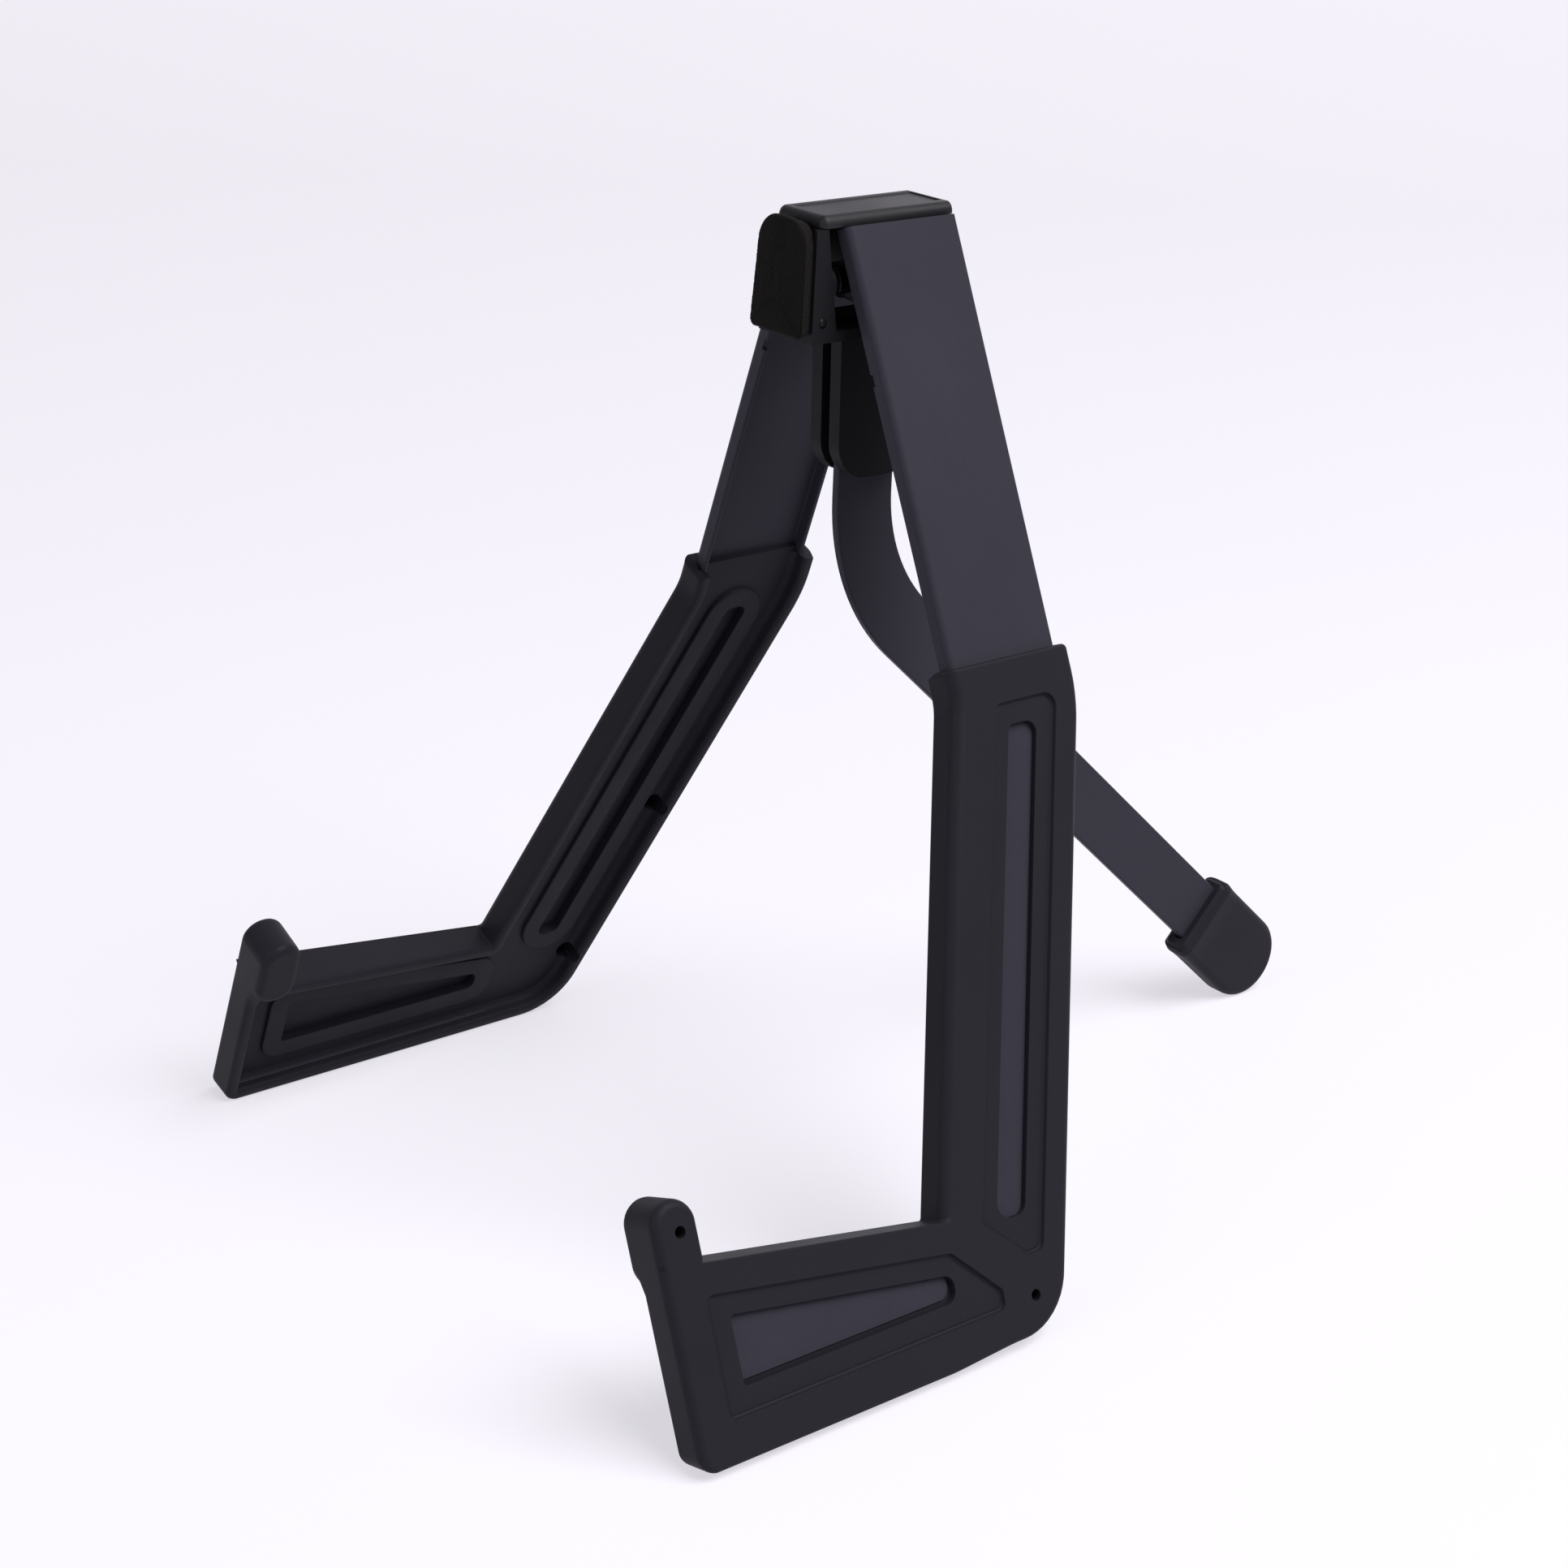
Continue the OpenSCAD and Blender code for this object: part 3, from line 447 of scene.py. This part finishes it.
def fine_coat(name, colour, roughness, specular, grain, depth, tint=0.08, spread=0.06):
    """Material of a fine, even surface; its grain and the grain's depth are in mm.

    Noise of the grain's size raises the surface. Half of it and half of a broad, patchy noise make
    the colour lighter and darker by tint, and the broad noise alone moves the roughness by spread.
    """
    material, tree, shader = new_material(name)
    shader.inputs["Specular IOR Level"].default_value = specular
    place = add(tree, "ShaderNodeTexCoord")
    fine = add(tree, "ShaderNodeTexNoise", inputs={
        "Vector": place.outputs["Object"], "Scale": PER_M / grain, "Detail": 2.0, "Roughness": 0.6})
    broad = add(tree, "ShaderNodeTexNoise", inputs={
        "Vector": place.outputs["Object"], "Scale": PATCHES_PER_M, "Detail": 4.0, "Roughness": 0.55})
    mottle = add(tree, "ShaderNodeMixRGB", inputs={
        "Fac": 0.5, "Color1": fine.outputs["Fac"], "Color2": broad.outputs["Fac"]})
    dark = [c * (1 - tint) for c in linear(colour)[:3]] + [1.0]
    light = [c * (1 + tint) for c in linear(colour)[:3]] + [1.0]
    shade = add(tree, "ShaderNodeMixRGB", inputs={
        "Fac": mottle.outputs["Color"], "Color1": dark, "Color2": light})
    rough = add(tree, "ShaderNodeMapRange", inputs={
        "Value": broad.outputs["Fac"], "From Min": 0.3, "From Max": 0.7,
        "To Min": roughness - spread, "To Max": roughness + spread})
    bump = add(tree, "ShaderNodeBump", inputs={
        "Height": fine.outputs["Fac"], "Strength": 1.0, "Distance": depth / PER_M})
    tree.links.new(shade.outputs["Color"], shader.inputs["Base Color"])
    tree.links.new(rough.outputs["Result"], shader.inputs["Roughness"])
    tree.links.new(bump.outputs["Normal"], shader.inputs["Normal"])
    return material


# The outlines of the boot and of the metal inside it, from the front of the mouth down the shin,
# along the shelf to the toe, back under the sole and up the rear
BOOT = outline(
    (leg_point(UPPER, -BOOT_HALF, MOUTH), 2),
    (bend_point(-BOOT_HALF), 20),
    (CORNER, 0.8),
    (shelf_point(0, TOE_Y), 0.3),
    ([TOE_Y, SOLE], 4.6),
    (leg_point(SHIN, BOOT_HALF, SOLE), 20),
    (bend_point(BOOT_HALF), 50),
    (leg_point(UPPER, BOOT_HALF, MOUTH), 2.5))
LEG = outline(
    (leg_point(UPPER, -METAL_HALF, BLANK_TOP), 2),
    (bend_point(-METAL_HALF), 23),
    (meet(bend_point(-METAL_HALF), SHIN, CORNER + SHELF_DOWN * METAL_SIDE, SHELF), 3.8),
    (shelf_point(METAL_SIDE, TOE_Y + METAL_SIDE), 0.5),
    ([TOE_Y + METAL_SIDE, SOLE - METAL_SIDE], 3),
    (leg_point(SHIN, METAL_HALF, SOLE - METAL_SIDE), 17),
    (bend_point(METAL_HALF), 47),
    (leg_point(UPPER, METAL_HALF, BLANK_TOP), 2))
HEEL_HOLE = np.array([CORNER[0] + HEEL_HOLE_BACK, SOLE - HEEL_HOLE_UP])
POCKETS = [leg_point(SHIN, BOOT_HALF - POCKET_IN, SOLE - high) for high in POCKETS_UP]

# The rings follow the sheet round its section: the fold's outside, the round tip of the folded edge
# and the fold's inside. The fold along the leg's rear is tighter than the others.
fold_weight = [1, 1, 1, 1, 1, 0.4, 0.4, 1]
channel = stacked(
    "channel",
    [ring(LEG, far, WEB + near, weight=fold_weight) for near, far in quarter(FOLD_R, 7)] +
    [ring(LEG, near, FOLD_TIP - far) for near, far in quarter(TIP_R, 4)] +
    [ring(LEG, SHEET - far, FOLD_TIP - near) for near, far in quarter(TIP_R, 4)] +
    [ring(LEG, SHEET + near, WEB + SHEET + far) for near, far in quarter(FOLD_IN_R, 4)])
notch_y = leg_point(UPPER, -METAL_HALF, NOTCH_TOP)[0]
sink = shin_slot(SINK_W, SINK_R)
window_side = foot_window(0, WINDOW_RADII)
joined(channel, "DIFFERENCE", [
    block("above_top", [-REACH_Y, -REACH_UP, -REACH_OUT], [REACH_Y, METAL_TOP, REACH_IN]),
    block("notch", [notch_y - NOTCH_OUT, NOTCH_TOP, FOLD_TIP - NOTCH_DEPTH],
          [notch_y + NOTCH_IN, NOTCH_FOOT, REACH_IN]),
    bore("heel_hole", HEEL_HOLE, HOLE_R, 0, HOLE_END),
    bore("upper_pocket", POCKETS[0], POCKET_R, 0, POCKET_END),
    bore("lower_pocket", POCKETS[1], POCKET_R, 0, POCKET_END),
    stacked("slot_sink", [ring(sink, -SINK_GROWN, d) for d in (WEB + SHEET - SINK_DEPTH, REACH_IN)])])

# In the foot's window the sheet is pressed in, but for a plate that nearly fills the window and
# leaves a narrow dark step along its rear and its lower side
window_skin = WEB + SHEET - WINDOW_SKIN
plate_back = WEB + SHEET - PLATE_GAP
joined(channel, "DIFFERENCE", [
    stacked("window_sink", [ring(window_side, -WINDOW_GROWN, d) for d in (0, window_skin)])])
joined(channel, "UNION", [
    stacked("window_plate", [ring(window_side, PLATE_GAP, d) + PLATE_SHIFT for d in (WEB, plate_back)])])

# Powder coat, sprayed dry and baked on: a violet-grey satin skin with a weak, broad sheen, no clear
# reflections and a faint orange peel. Its grain of about 0.2 mm is drawn 0.5 mm coarse.
powder_coat = fine_coat("satin_powder_coat", "#3f3e48", 0.45, 0.08, 0.5, 0.03, tint=0.22)
hang(channel, "_leg_metal", powder_coat, "_leg_channel")


# Rear bar: a flat bar of 3 mm steel with one bend and an eye at its top, powder coated with the front
# legs. Its form is the frame's, with its edges broken.
BAR_EDGE, WELD, FLAT_ANGLE, EDGE_ANGLE = 0.6, 2e-6, np.radians(0.6), np.radians(28)


def dress(piece, material, edge, segments=3):
    """Finishes a piece of the frame: joins its triangles and rounds its edges by edge, in mm.

    Triangles within the flat angle of each other become one face, and only edges sharper than the
    edge angle are rounded, as arcs of that many segments.
    """
    piece.data.materials.clear()
    piece.data.materials.append(material)
    welded = piece.modifiers.new("joined", "WELD")
    welded.merge_threshold = WELD
    flat = piece.modifiers.new("flat_faces", "DECIMATE")
    flat.decimate_type = "DISSOLVE"
    flat.angle_limit = FLAT_ANGLE
    if edge:
        rounded = piece.modifiers.new("rounded_edges", "BEVEL")
        rounded.width, rounded.segments = edge / PER_M, segments
        rounded.limit_method, rounded.angle_limit = "ANGLE", EDGE_ANGLE
    even = piece.modifiers.new("even_shading", "WEIGHTED_NORMAL")
    even.keep_sharp = True
    piece.data.shade_smooth()


dress(node["rear_leg_bar"], powder_coat, BAR_EDGE)


# Rubber boots: each leg's lower part sits in a soft boot, moulded in one piece round it: a face with
# sunk panels and two windows for the metal, a rim that wraps the folded edge, a shelf that carries
# the guitar, and a thick finger that keeps it there. Heights are along d, as the leg's are.
FACE, FACE_EDGE, METAL_IN = -1.5, 2.7, 2.0
LINING, RIM, RIM_W, RIM_EDGE, RIM_GAP, FILLET = 4.9, 10.2, 4.4, 1.5, 0.1, 2.2
SHELF_IN, SHELF_T, TOE_FALL = 14.3, 4.9, 0.12
FINGER_H, FINGER_IN, FINGER_EDGE = 18.9, 14.6, 2.6
SLOT_OPEN, SLOT_RADII, WINDOW_SHRINK, WINDOW_IN_RADII = 10.2, [2.4, 3.2, 3.6, 4.6], 0.6, [1.2, 2.7, 2.7, 0.8]
PANEL_IN, PANEL_STEP = 1.15, 0.55
PANEL_TOP, PANEL_FOOT, PANEL_FRONT, PANEL_REAR = 12.4, 22.4, 13.8, 9.2
FOOT_PANEL_SHELF, FOOT_PANEL_TOE, FOOT_PANEL_SOLE, FOOT_PANEL_BACK = 8.7, 11.3, 10.2, 15.4
SHIN_CUT, FOOT_CUT, CUT_SLOPE = [14.6, 6.2], [0.4, 10], np.radians(42.5)
SOLE_FLARE, FLARE_H, FLARE_START, FLARE_RUN, SOLE_BAND = 1.5, 12, 14, 22, 3
HOLE_START, POCKET_FLOOR, FINGER_HOLE, FINGER_HOLE_END = FACE - 1, 0.4, [-6, 9], 6

# How much of an inset each side of the boot's outline takes, on its rim and on its face: the face is
# round along the shin's front, and crisp along the shelf
SHELF_SIDE, TOE_SIDE, MOUTH_WEIGHT = 2, 3, 0.35
rim_weight = [1, 1, 1, 1, 1, 1, 1, MOUTH_WEIGHT]
face_weight = [1.4, 1.4, 0.15, 1, 0.45, 1, 1, MOUTH_WEIGHT]


def boot_ring(depth, height, weights=rim_weight):
    """Ring of the boot's outline inside it by depth, whose d is height(weight, rim, share).

    The rim's own height rises evenly along the shelf and falls back at once on the toe. It sinks to
    the lining along the mouth, whose weight is least. Its share is how high it stands above the
    lining, against how high it stands elsewhere.
    """
    plan, weight, side, place = inset(*BOOT, depth, weights)
    swell = np.where(side == SHELF_SIDE, place, 0)
    swell = swell + np.where(side == TOE_SIDE, np.clip(1 - place / TOE_FALL, 0, 1), 0)
    rim = RIM + (SHELF_IN - RIM) * swell
    rim = LINING + (rim - LINING) * (weight - MOUTH_WEIGHT) / (1 - MOUTH_WEIGHT)
    return np.column_stack([plan, height(weight, rim, (rim - LINING) / (RIM - LINING))])


SAME_POINT = 1e-5


def filled(rings):
    """Triangles between closed rings that lie inside the first one, where each ring keeps its own d.

    A constrained triangulation of the plan joins the rings; a triangle stays where a line from its
    middle crosses the first ring an odd number of times.
    """
    points = np.concatenate(rings).astype(np.float32).astype(float)
    starts = np.cumsum([0] + [len(r) for r in rings[:-1]])
    edges = np.concatenate([first + np.stack([np.arange(len(r)), np.roll(np.arange(len(r)), -1)], axis=1)
                            for first, r in zip(starts, rings)])
    plan = [Vector(p) for p in points[:, :2].tolist()]
    made = delaunay_2d_cdt(plan, edges.tolist(), [], 0, SAME_POINT, True)
    source = np.array([kept[0] for kept in made[3]])
    triangles = source[np.array(made[2])]
    middle = points[triangles, :2].mean(axis=1)[:, None]
    a = points[:len(rings[0]), :2]
    b = np.roll(a, -1, axis=0)
    spans = (a[:, 1] > middle[..., 1]) != (b[:, 1] > middle[..., 1])
    rise = np.where(a[:, 1] == b[:, 1], 1, b[:, 1] - a[:, 1])
    crossing = a[:, 0] + (b[:, 0] - a[:, 0]) * (middle[..., 1] - a[:, 1]) / rise
    crossed = spans & (middle[..., 0] < crossing)
    return points, triangles[crossed.sum(axis=1) % 2 == 1]


# The two panels of the face: the shin's lower end and the foot's upper rear corner are cut along the
# same slope, so that a band of even width runs between them
slope = lean(np.pi / 2 - CUT_SLOPE)
cut = CORNER + SHIN_CUT
front, rear = PANEL_FRONT - BOOT_HALF, BOOT_HALF - PANEL_REAR
shin_panel = outline(
    (leg_point(SHIN, front, MOUTH + PANEL_TOP), 3),
    (leg_point(SHIN, rear, MOUTH + PANEL_TOP), 4),
    (leg_point(SHIN, rear, SOLE - PANEL_FOOT), 3),
    (meet(cut, slope, [0, SOLE - PANEL_FOOT], LEVEL), 3),
    (meet(cut, slope, bend_point(front), SHIN), 1.5))
cut = CORNER + FOOT_CUT
toe, heel, low = TOE_Y + FOOT_PANEL_TOE, cut[0] + FOOT_PANEL_BACK, SOLE - FOOT_PANEL_SOLE
foot_panel = outline(
    (shelf_point(FOOT_PANEL_SHELF, toe), 2.4),
    (shelf_point(FOOT_PANEL_SHELF, cut[0]), 2.4),
    (meet(cut, slope, [heel, 0], DOWN), 2.4),
    ([heel, low], 2.4),
    ([toe, low], 2.4))

# Face: rounded over its edge, with two sunk panels, a fine groove round the foot of each one's step,
# and the windows cut down to the metal with a soft lip
face = [boot_ring(near, lambda weight, rim, share: FACE + weight * far, face_weight)
        for near, far in quarter(FACE_EDGE, 7)]
PANEL_FLOOR = FACE + PANEL_IN
GROOVE = [(0.2, 0.16), (0.4, 0.2), (0.65, 0.12), (0.95, 0)]
panel_steps = [(PANEL_STEP * t, FACE + PANEL_IN * (t * t * (3 - 2 * t))) for t in np.linspace(0, 1, 6)]
panel_steps += [(PANEL_STEP + depth, PANEL_FLOOR + d) for depth, d in GROOVE]
window_lip = [(-0.4, PANEL_FLOOR), (-0.12, PANEL_FLOOR + 0.06), (0, PANEL_FLOOR + 0.3), (0.02, METAL_IN)]
for panel in (shin_panel, foot_panel):
    face += [ring(panel, depth, d) for depth, d in panel_steps]
for opening in (shin_slot(SLOT_OPEN, SLOT_RADII), window_side):
    face += [ring(opening, depth, d) for depth, d in window_lip]

# Inside: the rim's two round edges, the fillet at its foot, and the lining, where a flat border
# stands up round each window
edge = quarter(RIM_EDGE, 5)
lining = [boot_ring(near, lambda weight, rim, share: rim - share * far) for near, far in edge]
lining += [boot_ring(RIM_W - far, lambda weight, rim, share: rim - share * near) for near, far in edge]
lining += [boot_ring(RIM_W + RIM_GAP + near, lambda weight, rim, share: LINING + share * far)
           for near, far in quarter(FILLET, 5)]
border = [(-6.4, LINING), (-6.2, LINING + 0.8), (-6.1, LINING + 1.1), (-5.8, LINING + 1.3)]
border_in = [(-0.35, LINING + 1.3), (-0.1, LINING + 1.2), (0, LINING + 0.9), (0.02, WEB + SHEET + 0.1)]
for opening in (shin_slot(SLOT_W, 4.6), foot_window(0, 0.8)):
    lining += [ring(opening, depth, d) for depth, d in border]
for opening in (sink, foot_window(-WINDOW_SHRINK, WINDOW_IN_RADII)):
    lining += [ring(opening, depth, d) for depth, d in border_in]

face_points, face_faces = filled(face)
lining_points, lining_faces = filled(lining)
tray = solid("tray", np.concatenate([face_points, lining_points]),
             face_faces.tolist() + (lining_faces + len(face_points)).tolist() +
             band(len(face[0]), 0, len(face_points)))

# Finger at the toe: a round-topped block, rounded over at both ends
finger_top = shelf_point(0, FINGER_Y)[1] - FINGER_H
finger_foot = shelf_point(SHELF_T, FINGER_Y)[1]
finger_side = outline(
    ([FINGER_Y, finger_foot], 6.5),
    ([FINGER_Y, finger_top], 6.9),
    ([TOE_Y, finger_top], 6.9),
    ([TOE_Y, finger_foot], 6.5))
finger_weight = [0.5, 1, 1, 1]
finger = stacked(
    "finger",
    [ring(finger_side, near, FACE + far, steps=10, weight=finger_weight)
     for near, far in reversed(quarter(FACE_EDGE, 7))] +
    [ring(finger_side, near, FINGER_IN - far, steps=10) for near, far in quarter(FINGER_EDGE, 6)])
joined(tray, "UNION", [finger])
joined(tray, "DIFFERENCE", [
    bore("heel_hole", HEEL_HOLE, HOLE_R, HOLE_START, HOLE_END),
    bore("finger_hole", np.add([FINGER_Y, finger_top], FINGER_HOLE), HOLE_R, HOLE_START, FINGER_HOLE_END),
    bore("upper_pocket", POCKETS[0], POCKET_R, POCKET_FLOOR, POCKET_END),
    bore("lower_pocket", POCKETS[1], POCKET_R, POCKET_FLOOR, POCKET_END)])

# The sole drops towards its outer edge, by up to SOLE_FLARE. The drop fades out towards the rim, up
# the boot's side and towards the heel.
point = get_points(tray)
sole_end = point[point[:, 1] > SOLE - SOLE_BAND, 0].max()
flare = SOLE_FLARE * np.clip((sole_end - FLARE_START - point[:, 0]) / FLARE_RUN, 0, 1)
flare = flare * np.clip((point[:, 1] - SOLE) / FLARE_H + 1, 0, 1)
point[:, 1] += flare * np.clip((RIM - point[:, 2]) / (RIM - FACE), 0, 1)
set_points(tray, point)

# Rubber, moulded in a steel tool with an eroded surface: nearly black and matt, with a broad, faint
# sheen on its rounded edges. The tool's grain of about 0.1 mm is drawn 0.5 mm coarse.
rubber = fine_coat("moulded_rubber", "#29282f", 0.55, 0.12, 0.5, 0.03, tint=0.16)
hang(tray, "_boot", rubber, "_leg_cover")


# Rear foot cap: a rubber cap, moulded as the boots are and pushed on the end of the bar: a flat blade
# with a round nose, thickened to a lip round its mouth. It is drawn in mm: u runs along the bar from
# the middle of the nose, w across it and x through it.
NOSE_AT, BAR_TURN = np.array([160.5, 14.65]), np.radians(137.2)
NOSE_R, CAP_LEN, CAP_HALF, CAP_EDGE, LIP_R = 14.85, 31.6, 5.5, 3.0, 3.2
SOCKET_FOOT, SOCKET_W, SOCKET_T = -2, 10.6, 1.6
LIP = [(18, -0.5), (20, -0.1), (22, 0.03), (24, 0.12), (26, 0.25), (27.6, 0.4), (28.3, 0.45),
       (28.8, 0.35), (29.4, 0.05), (30.3, -0.65), (31.2, -1.45), (CAP_LEN, -1.9)]
blade = outline(
    ([CAP_LEN - 1, -NOSE_R], 1),
    ([CAP_LEN - 1, NOSE_R], 1),
    ([-NOSE_R, NOSE_R], NOSE_R - LEAST_R),
    ([-NOSE_R, -NOSE_R], NOSE_R - LEAST_R))
mouth = outline(
    ([-NOSE_R, -CAP_HALF], LIP_R),
    ([NOSE_R, -CAP_HALF], LIP_R),
    ([NOSE_R, CAP_HALF], LIP_R),
    ([-NOSE_R, CAP_HALF], LIP_R))
blade_mesh = {"steps": 24, "pitch": 4, "weight": [0.3, 1, 1, 1]}
edge = quarter(CAP_EDGE, 7)
foot_cap = stacked(
    "rear_foot_boot",
    [ring(blade, near, far - CAP_HALF, **blade_mesh) for near, far in reversed(edge)] +
    [ring(blade, near, CAP_HALF - far, **blade_mesh) for near, far in edge])
joined(foot_cap, "UNION", [
    stacked("lip", [ring(mouth, -grown, along, steps=8)[:, [2, 0, 1]] for along, grown in LIP])])
joined(foot_cap, "DIFFERENCE", [
    block("bar_socket", [SOCKET_FOOT, -SOCKET_W, -SOCKET_T], [REACH_Y, SOCKET_W, SOCKET_T])])

# The bar's direction turns u and w into y and z; what would reach under the floor is worn flat
u, w, x = get_points(foot_cap).T
y = NOSE_AT[0] + u * np.cos(BAR_TURN) - w * np.sin(BAR_TURN)
z = np.maximum(NOSE_AT[1] + u * np.sin(BAR_TURN) + w * np.cos(BAR_TURN), 0)
set_points(foot_cap, np.stack([x, y, z], axis=1) / PER_M)
turn_outwards(foot_cap)
finish(foot_cap, rubber)
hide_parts("rear_foot_cap")
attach(foot_cap, "rear_leg")


# Head lid: a moulded plastic lid, pushed on the top of the housing. Its sides round over to a flat
# top that has a shallow panel sunk in it. It is drawn in mm, with y from the legs' middle.
LID_FOOT, LID_TOP, LID_LIP = 296.292, 299.992, 0.6
LID_FOOT_EDGE = [(0.5, 0), (0, 0.3)]
LID_SIDE, LID_FRONT, LID_REAR, LID_CROWN = 11.1, -26.9, 21.7, 8.65
LID_ROUND = LID_SIDE - LID_CROWN
LID_PANEL = [(1.5, 0), (1.6, 0.05), (1.85, 0.35), (1.95, 0.4), (4, 0.4)]
lid_mesh = {"steps": 8, "pitch": 8}
lid_weight = [0.8, 1, 0.5, 1]
lid_plan = outline(
    ([-LID_SIDE, LID_FRONT], 2.6),
    ([LID_SIDE, LID_FRONT], 2.6),
    ([LID_SIDE, LID_REAR], 1.8),
    ([-LID_SIDE, LID_REAR], 1.8))

# The sides rise upright to a lip, then round over along a quarter of an ellipse, less in front and at
# the rear than at the sides
LID_BEND = LID_FOOT + LID_LIP
lid_steps = [(LID_ROUND * (1 - np.cos(a)), LID_BEND + (LID_TOP - LID_BEND) * np.sin(a))
             for a in np.radians(np.linspace(0, 90, 9))]
lid_steps += [(LID_ROUND + depth, LID_TOP - drop) for depth, drop in LID_PANEL]
lid = stacked(
    "head_lid",
    [ring(lid_plan, depth, LID_FOOT + high, **lid_mesh) for depth, high in LID_FOOT_EDGE] +
    [ring(lid_plan, depth, high, weight=lid_weight, **lid_mesh) for depth, high in lid_steps])
set_points(lid, (get_points(lid) + [0, LEGS_Y, 0]) / PER_M)

# ABS, moulded black with an eroded texture: satin, with a clear pale sheen on its flat top. The
# texture of about 0.1 mm is drawn 0.5 mm coarse.
moulded_abs = fine_coat("moulded_abs", "#1b1a1f", 0.48, 0.38, 0.5, 0.02)
finish(lid, moulded_abs)
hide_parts("head_cap")
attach(lid, "head")


# Head housing: the moulded block that all three legs hinge on, with a thick front, a floor and a
# rear. Its form is the frame's, with its edges broken.
HOUSING_EDGE = 0.4

# Glass-filled nylon, moulded black: duller than the lid, as the glass breaks up its skin, and nearly
# without sheen. Its texture of about 0.1 mm is drawn 0.5 mm coarse.
filled_nylon = fine_coat("moulded_glass_filled_nylon", "#1b1a1e", 0.52, 0.15, 0.5, 0.02)
dress(node["head_housing"], filled_nylon, HOUSING_EDGE)


# Rear yoke: two moulded tongues under the head, screwed to its floor, that the rear bar swings
# between. Their form is the frame's, with its edges well rounded.
YOKE_EDGE, YOKE_SEGMENTS = 1.8, 4

# Nylon without glass, moulded black and as dull as the housing. Its colour is a little darker than the
# housing's: painted shade for the shadow that the head and the near leg cast on the tongues. Its texture of
# about 0.1 mm is drawn 0.5 mm coarse.
yoke_nylon_painted_shade = fine_coat("yoke_nylon_painted_shade", "#141316", 0.52, 0.12, 0.5, 0.02)
dress(node["rear_yoke"], yoke_nylon_painted_shade, YOKE_EDGE, YOKE_SEGMENTS)


# Steel inside the head: the pad's plate and its cross pin, the hinge pins, the rear bar's pin, the
# yoke's screws, and the brackets that are welded into the tops of the legs.

# Mild steel, dull, showing no bright metal. Its near-black colour is painted shade for the dark gaps inside
# the head. Its grain of about 0.05 mm is drawn 0.8 mm coarse.
steel = fine_coat("dark_steel_painted_shade", "#121214", 0.5, 0.2, 0.8, 0.01)
for name in ("pad_backing_plate", "pad_cross_pin", "yoke_screws", "rear_leg_pin", "right_hinge_pin",
             "left_hinge_pin", "right_hinge_bracket", "left_hinge_bracket"):
    dress(node[name], steel, 0)


# Spacers and sleeve: nylon rings that keep the brackets off the head's blocks, and the nylon tube in
# the rear bar's eye. They are turned from rod and threaded on the pins.

# Nylon rod, turned and left as cut, with a dull, waxy sheen. Its near-black colour, the darkest in the head,
# is painted shade for the dark gaps inside the head where the spacers and sleeve sit. Its marks of about 0.1
# mm are drawn as an even grain, 0.8 mm coarse.
turned_nylon_painted_shade = fine_coat("turned_nylon_painted_shade", "#0e0e10", 0.5, 0.2, 0.8, 0.01)
for name in ("right_hinge_spacers", "left_hinge_spacers", "rear_leg_sleeve"):
    dress(node[name], turned_nylon_painted_shade, 0)


# Foam pad: what the guitar leans on, a block of open-cell foam rubber, cut with soft edges and a round
# top, crowned across its width and glued to its plate. It is drawn in mm: across, up the pad, and
# back towards its plate, so that its face has the smallest values.
PAD_Y, PAD_Z, PAD_TILT = -54.5615, 264.192, np.radians(3.4)
PAD_EDGE, PAD_FRONT, PAD_BACK, PORES = 0.9, -4.7, 0.3, 0.05
CROWN_R, DOME, DOME_RUN = 90, 0.35, 6
pad_side = outline(
    ([-12, 1.6], 2.2),
    ([12, 1.6], 2.2),
    ([10.5, 34.8], 8.3),
    ([-10.5, 34.8], 8.3))

# Its sides pull in a little towards the glued back, and round over to a face that is worked out in
# steps to its middle
pad_steps = [(1.1, PAD_BACK), (1.0, PAD_BACK - 0.8), (0.6, PAD_BACK - 1.9), (0.15, PAD_BACK - 3)]
pad_steps += [(near, PAD_FRONT + far) for near, far in quarter(PAD_EDGE, 5)]
pad_steps += [(depth, PAD_FRONT) for depth in (1.9, 2.6, 3.4, 4.2, 5.0, 5.8, 6.6, 7.4, 8.2, 9.2)]
foam_cells = np.random.default_rng(11)


def pad_loop(depth, back):
    """Ring of the pad inside its side by depth.

    The face falls back with the square of the way across, over twice the crown's radius, and swells
    forwards with a power of the depth. Open cells roughen everything but the back.
    """
    loop = ring(pad_side, depth, back, steps=10, pitch=0.8)
    crown = loop[:, 0] ** 2 / (2 * CROWN_R) - DOME * np.clip(depth / DOME_RUN, 0, 1) ** 0.7
    cells = foam_cells.normal(0, PORES, len(loop))
    loop[:, 2] += np.where(back < PAD_FRONT + PAD_EDGE, crown, 0) + cells * (back < PAD_BACK)
    return loop


pad = stacked("foam_cushion", [pad_loop(depth, back) for depth, back in pad_steps])
x, up_pad, back = get_points(pad).T
y = PAD_Y + back * np.cos(PAD_TILT) + up_pad * np.sin(PAD_TILT)
z = PAD_Z - back * np.sin(PAD_TILT) + up_pad * np.cos(PAD_TILT)
set_points(pad, np.stack([x, y, z], axis=1) / PER_M)
turn_outwards(pad)

# Foam rubber with open cells, sawn from a block: a warm black, wholly matt and porous, with no sheen
# at all. Its cells of about 0.4 mm are drawn 0.7 mm coarse.
foam = fine_coat("sawn_foam_rubber", "#1c1a19", 0.95, 0.15, 0.7, 0.4, tint=0.35)
finish(pad, foam, sharp=60)
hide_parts("foam_pad")
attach(pad, "head")

# Colours are shown as they are written.
bpy.context.scene.view_settings.view_transform = "Standard"
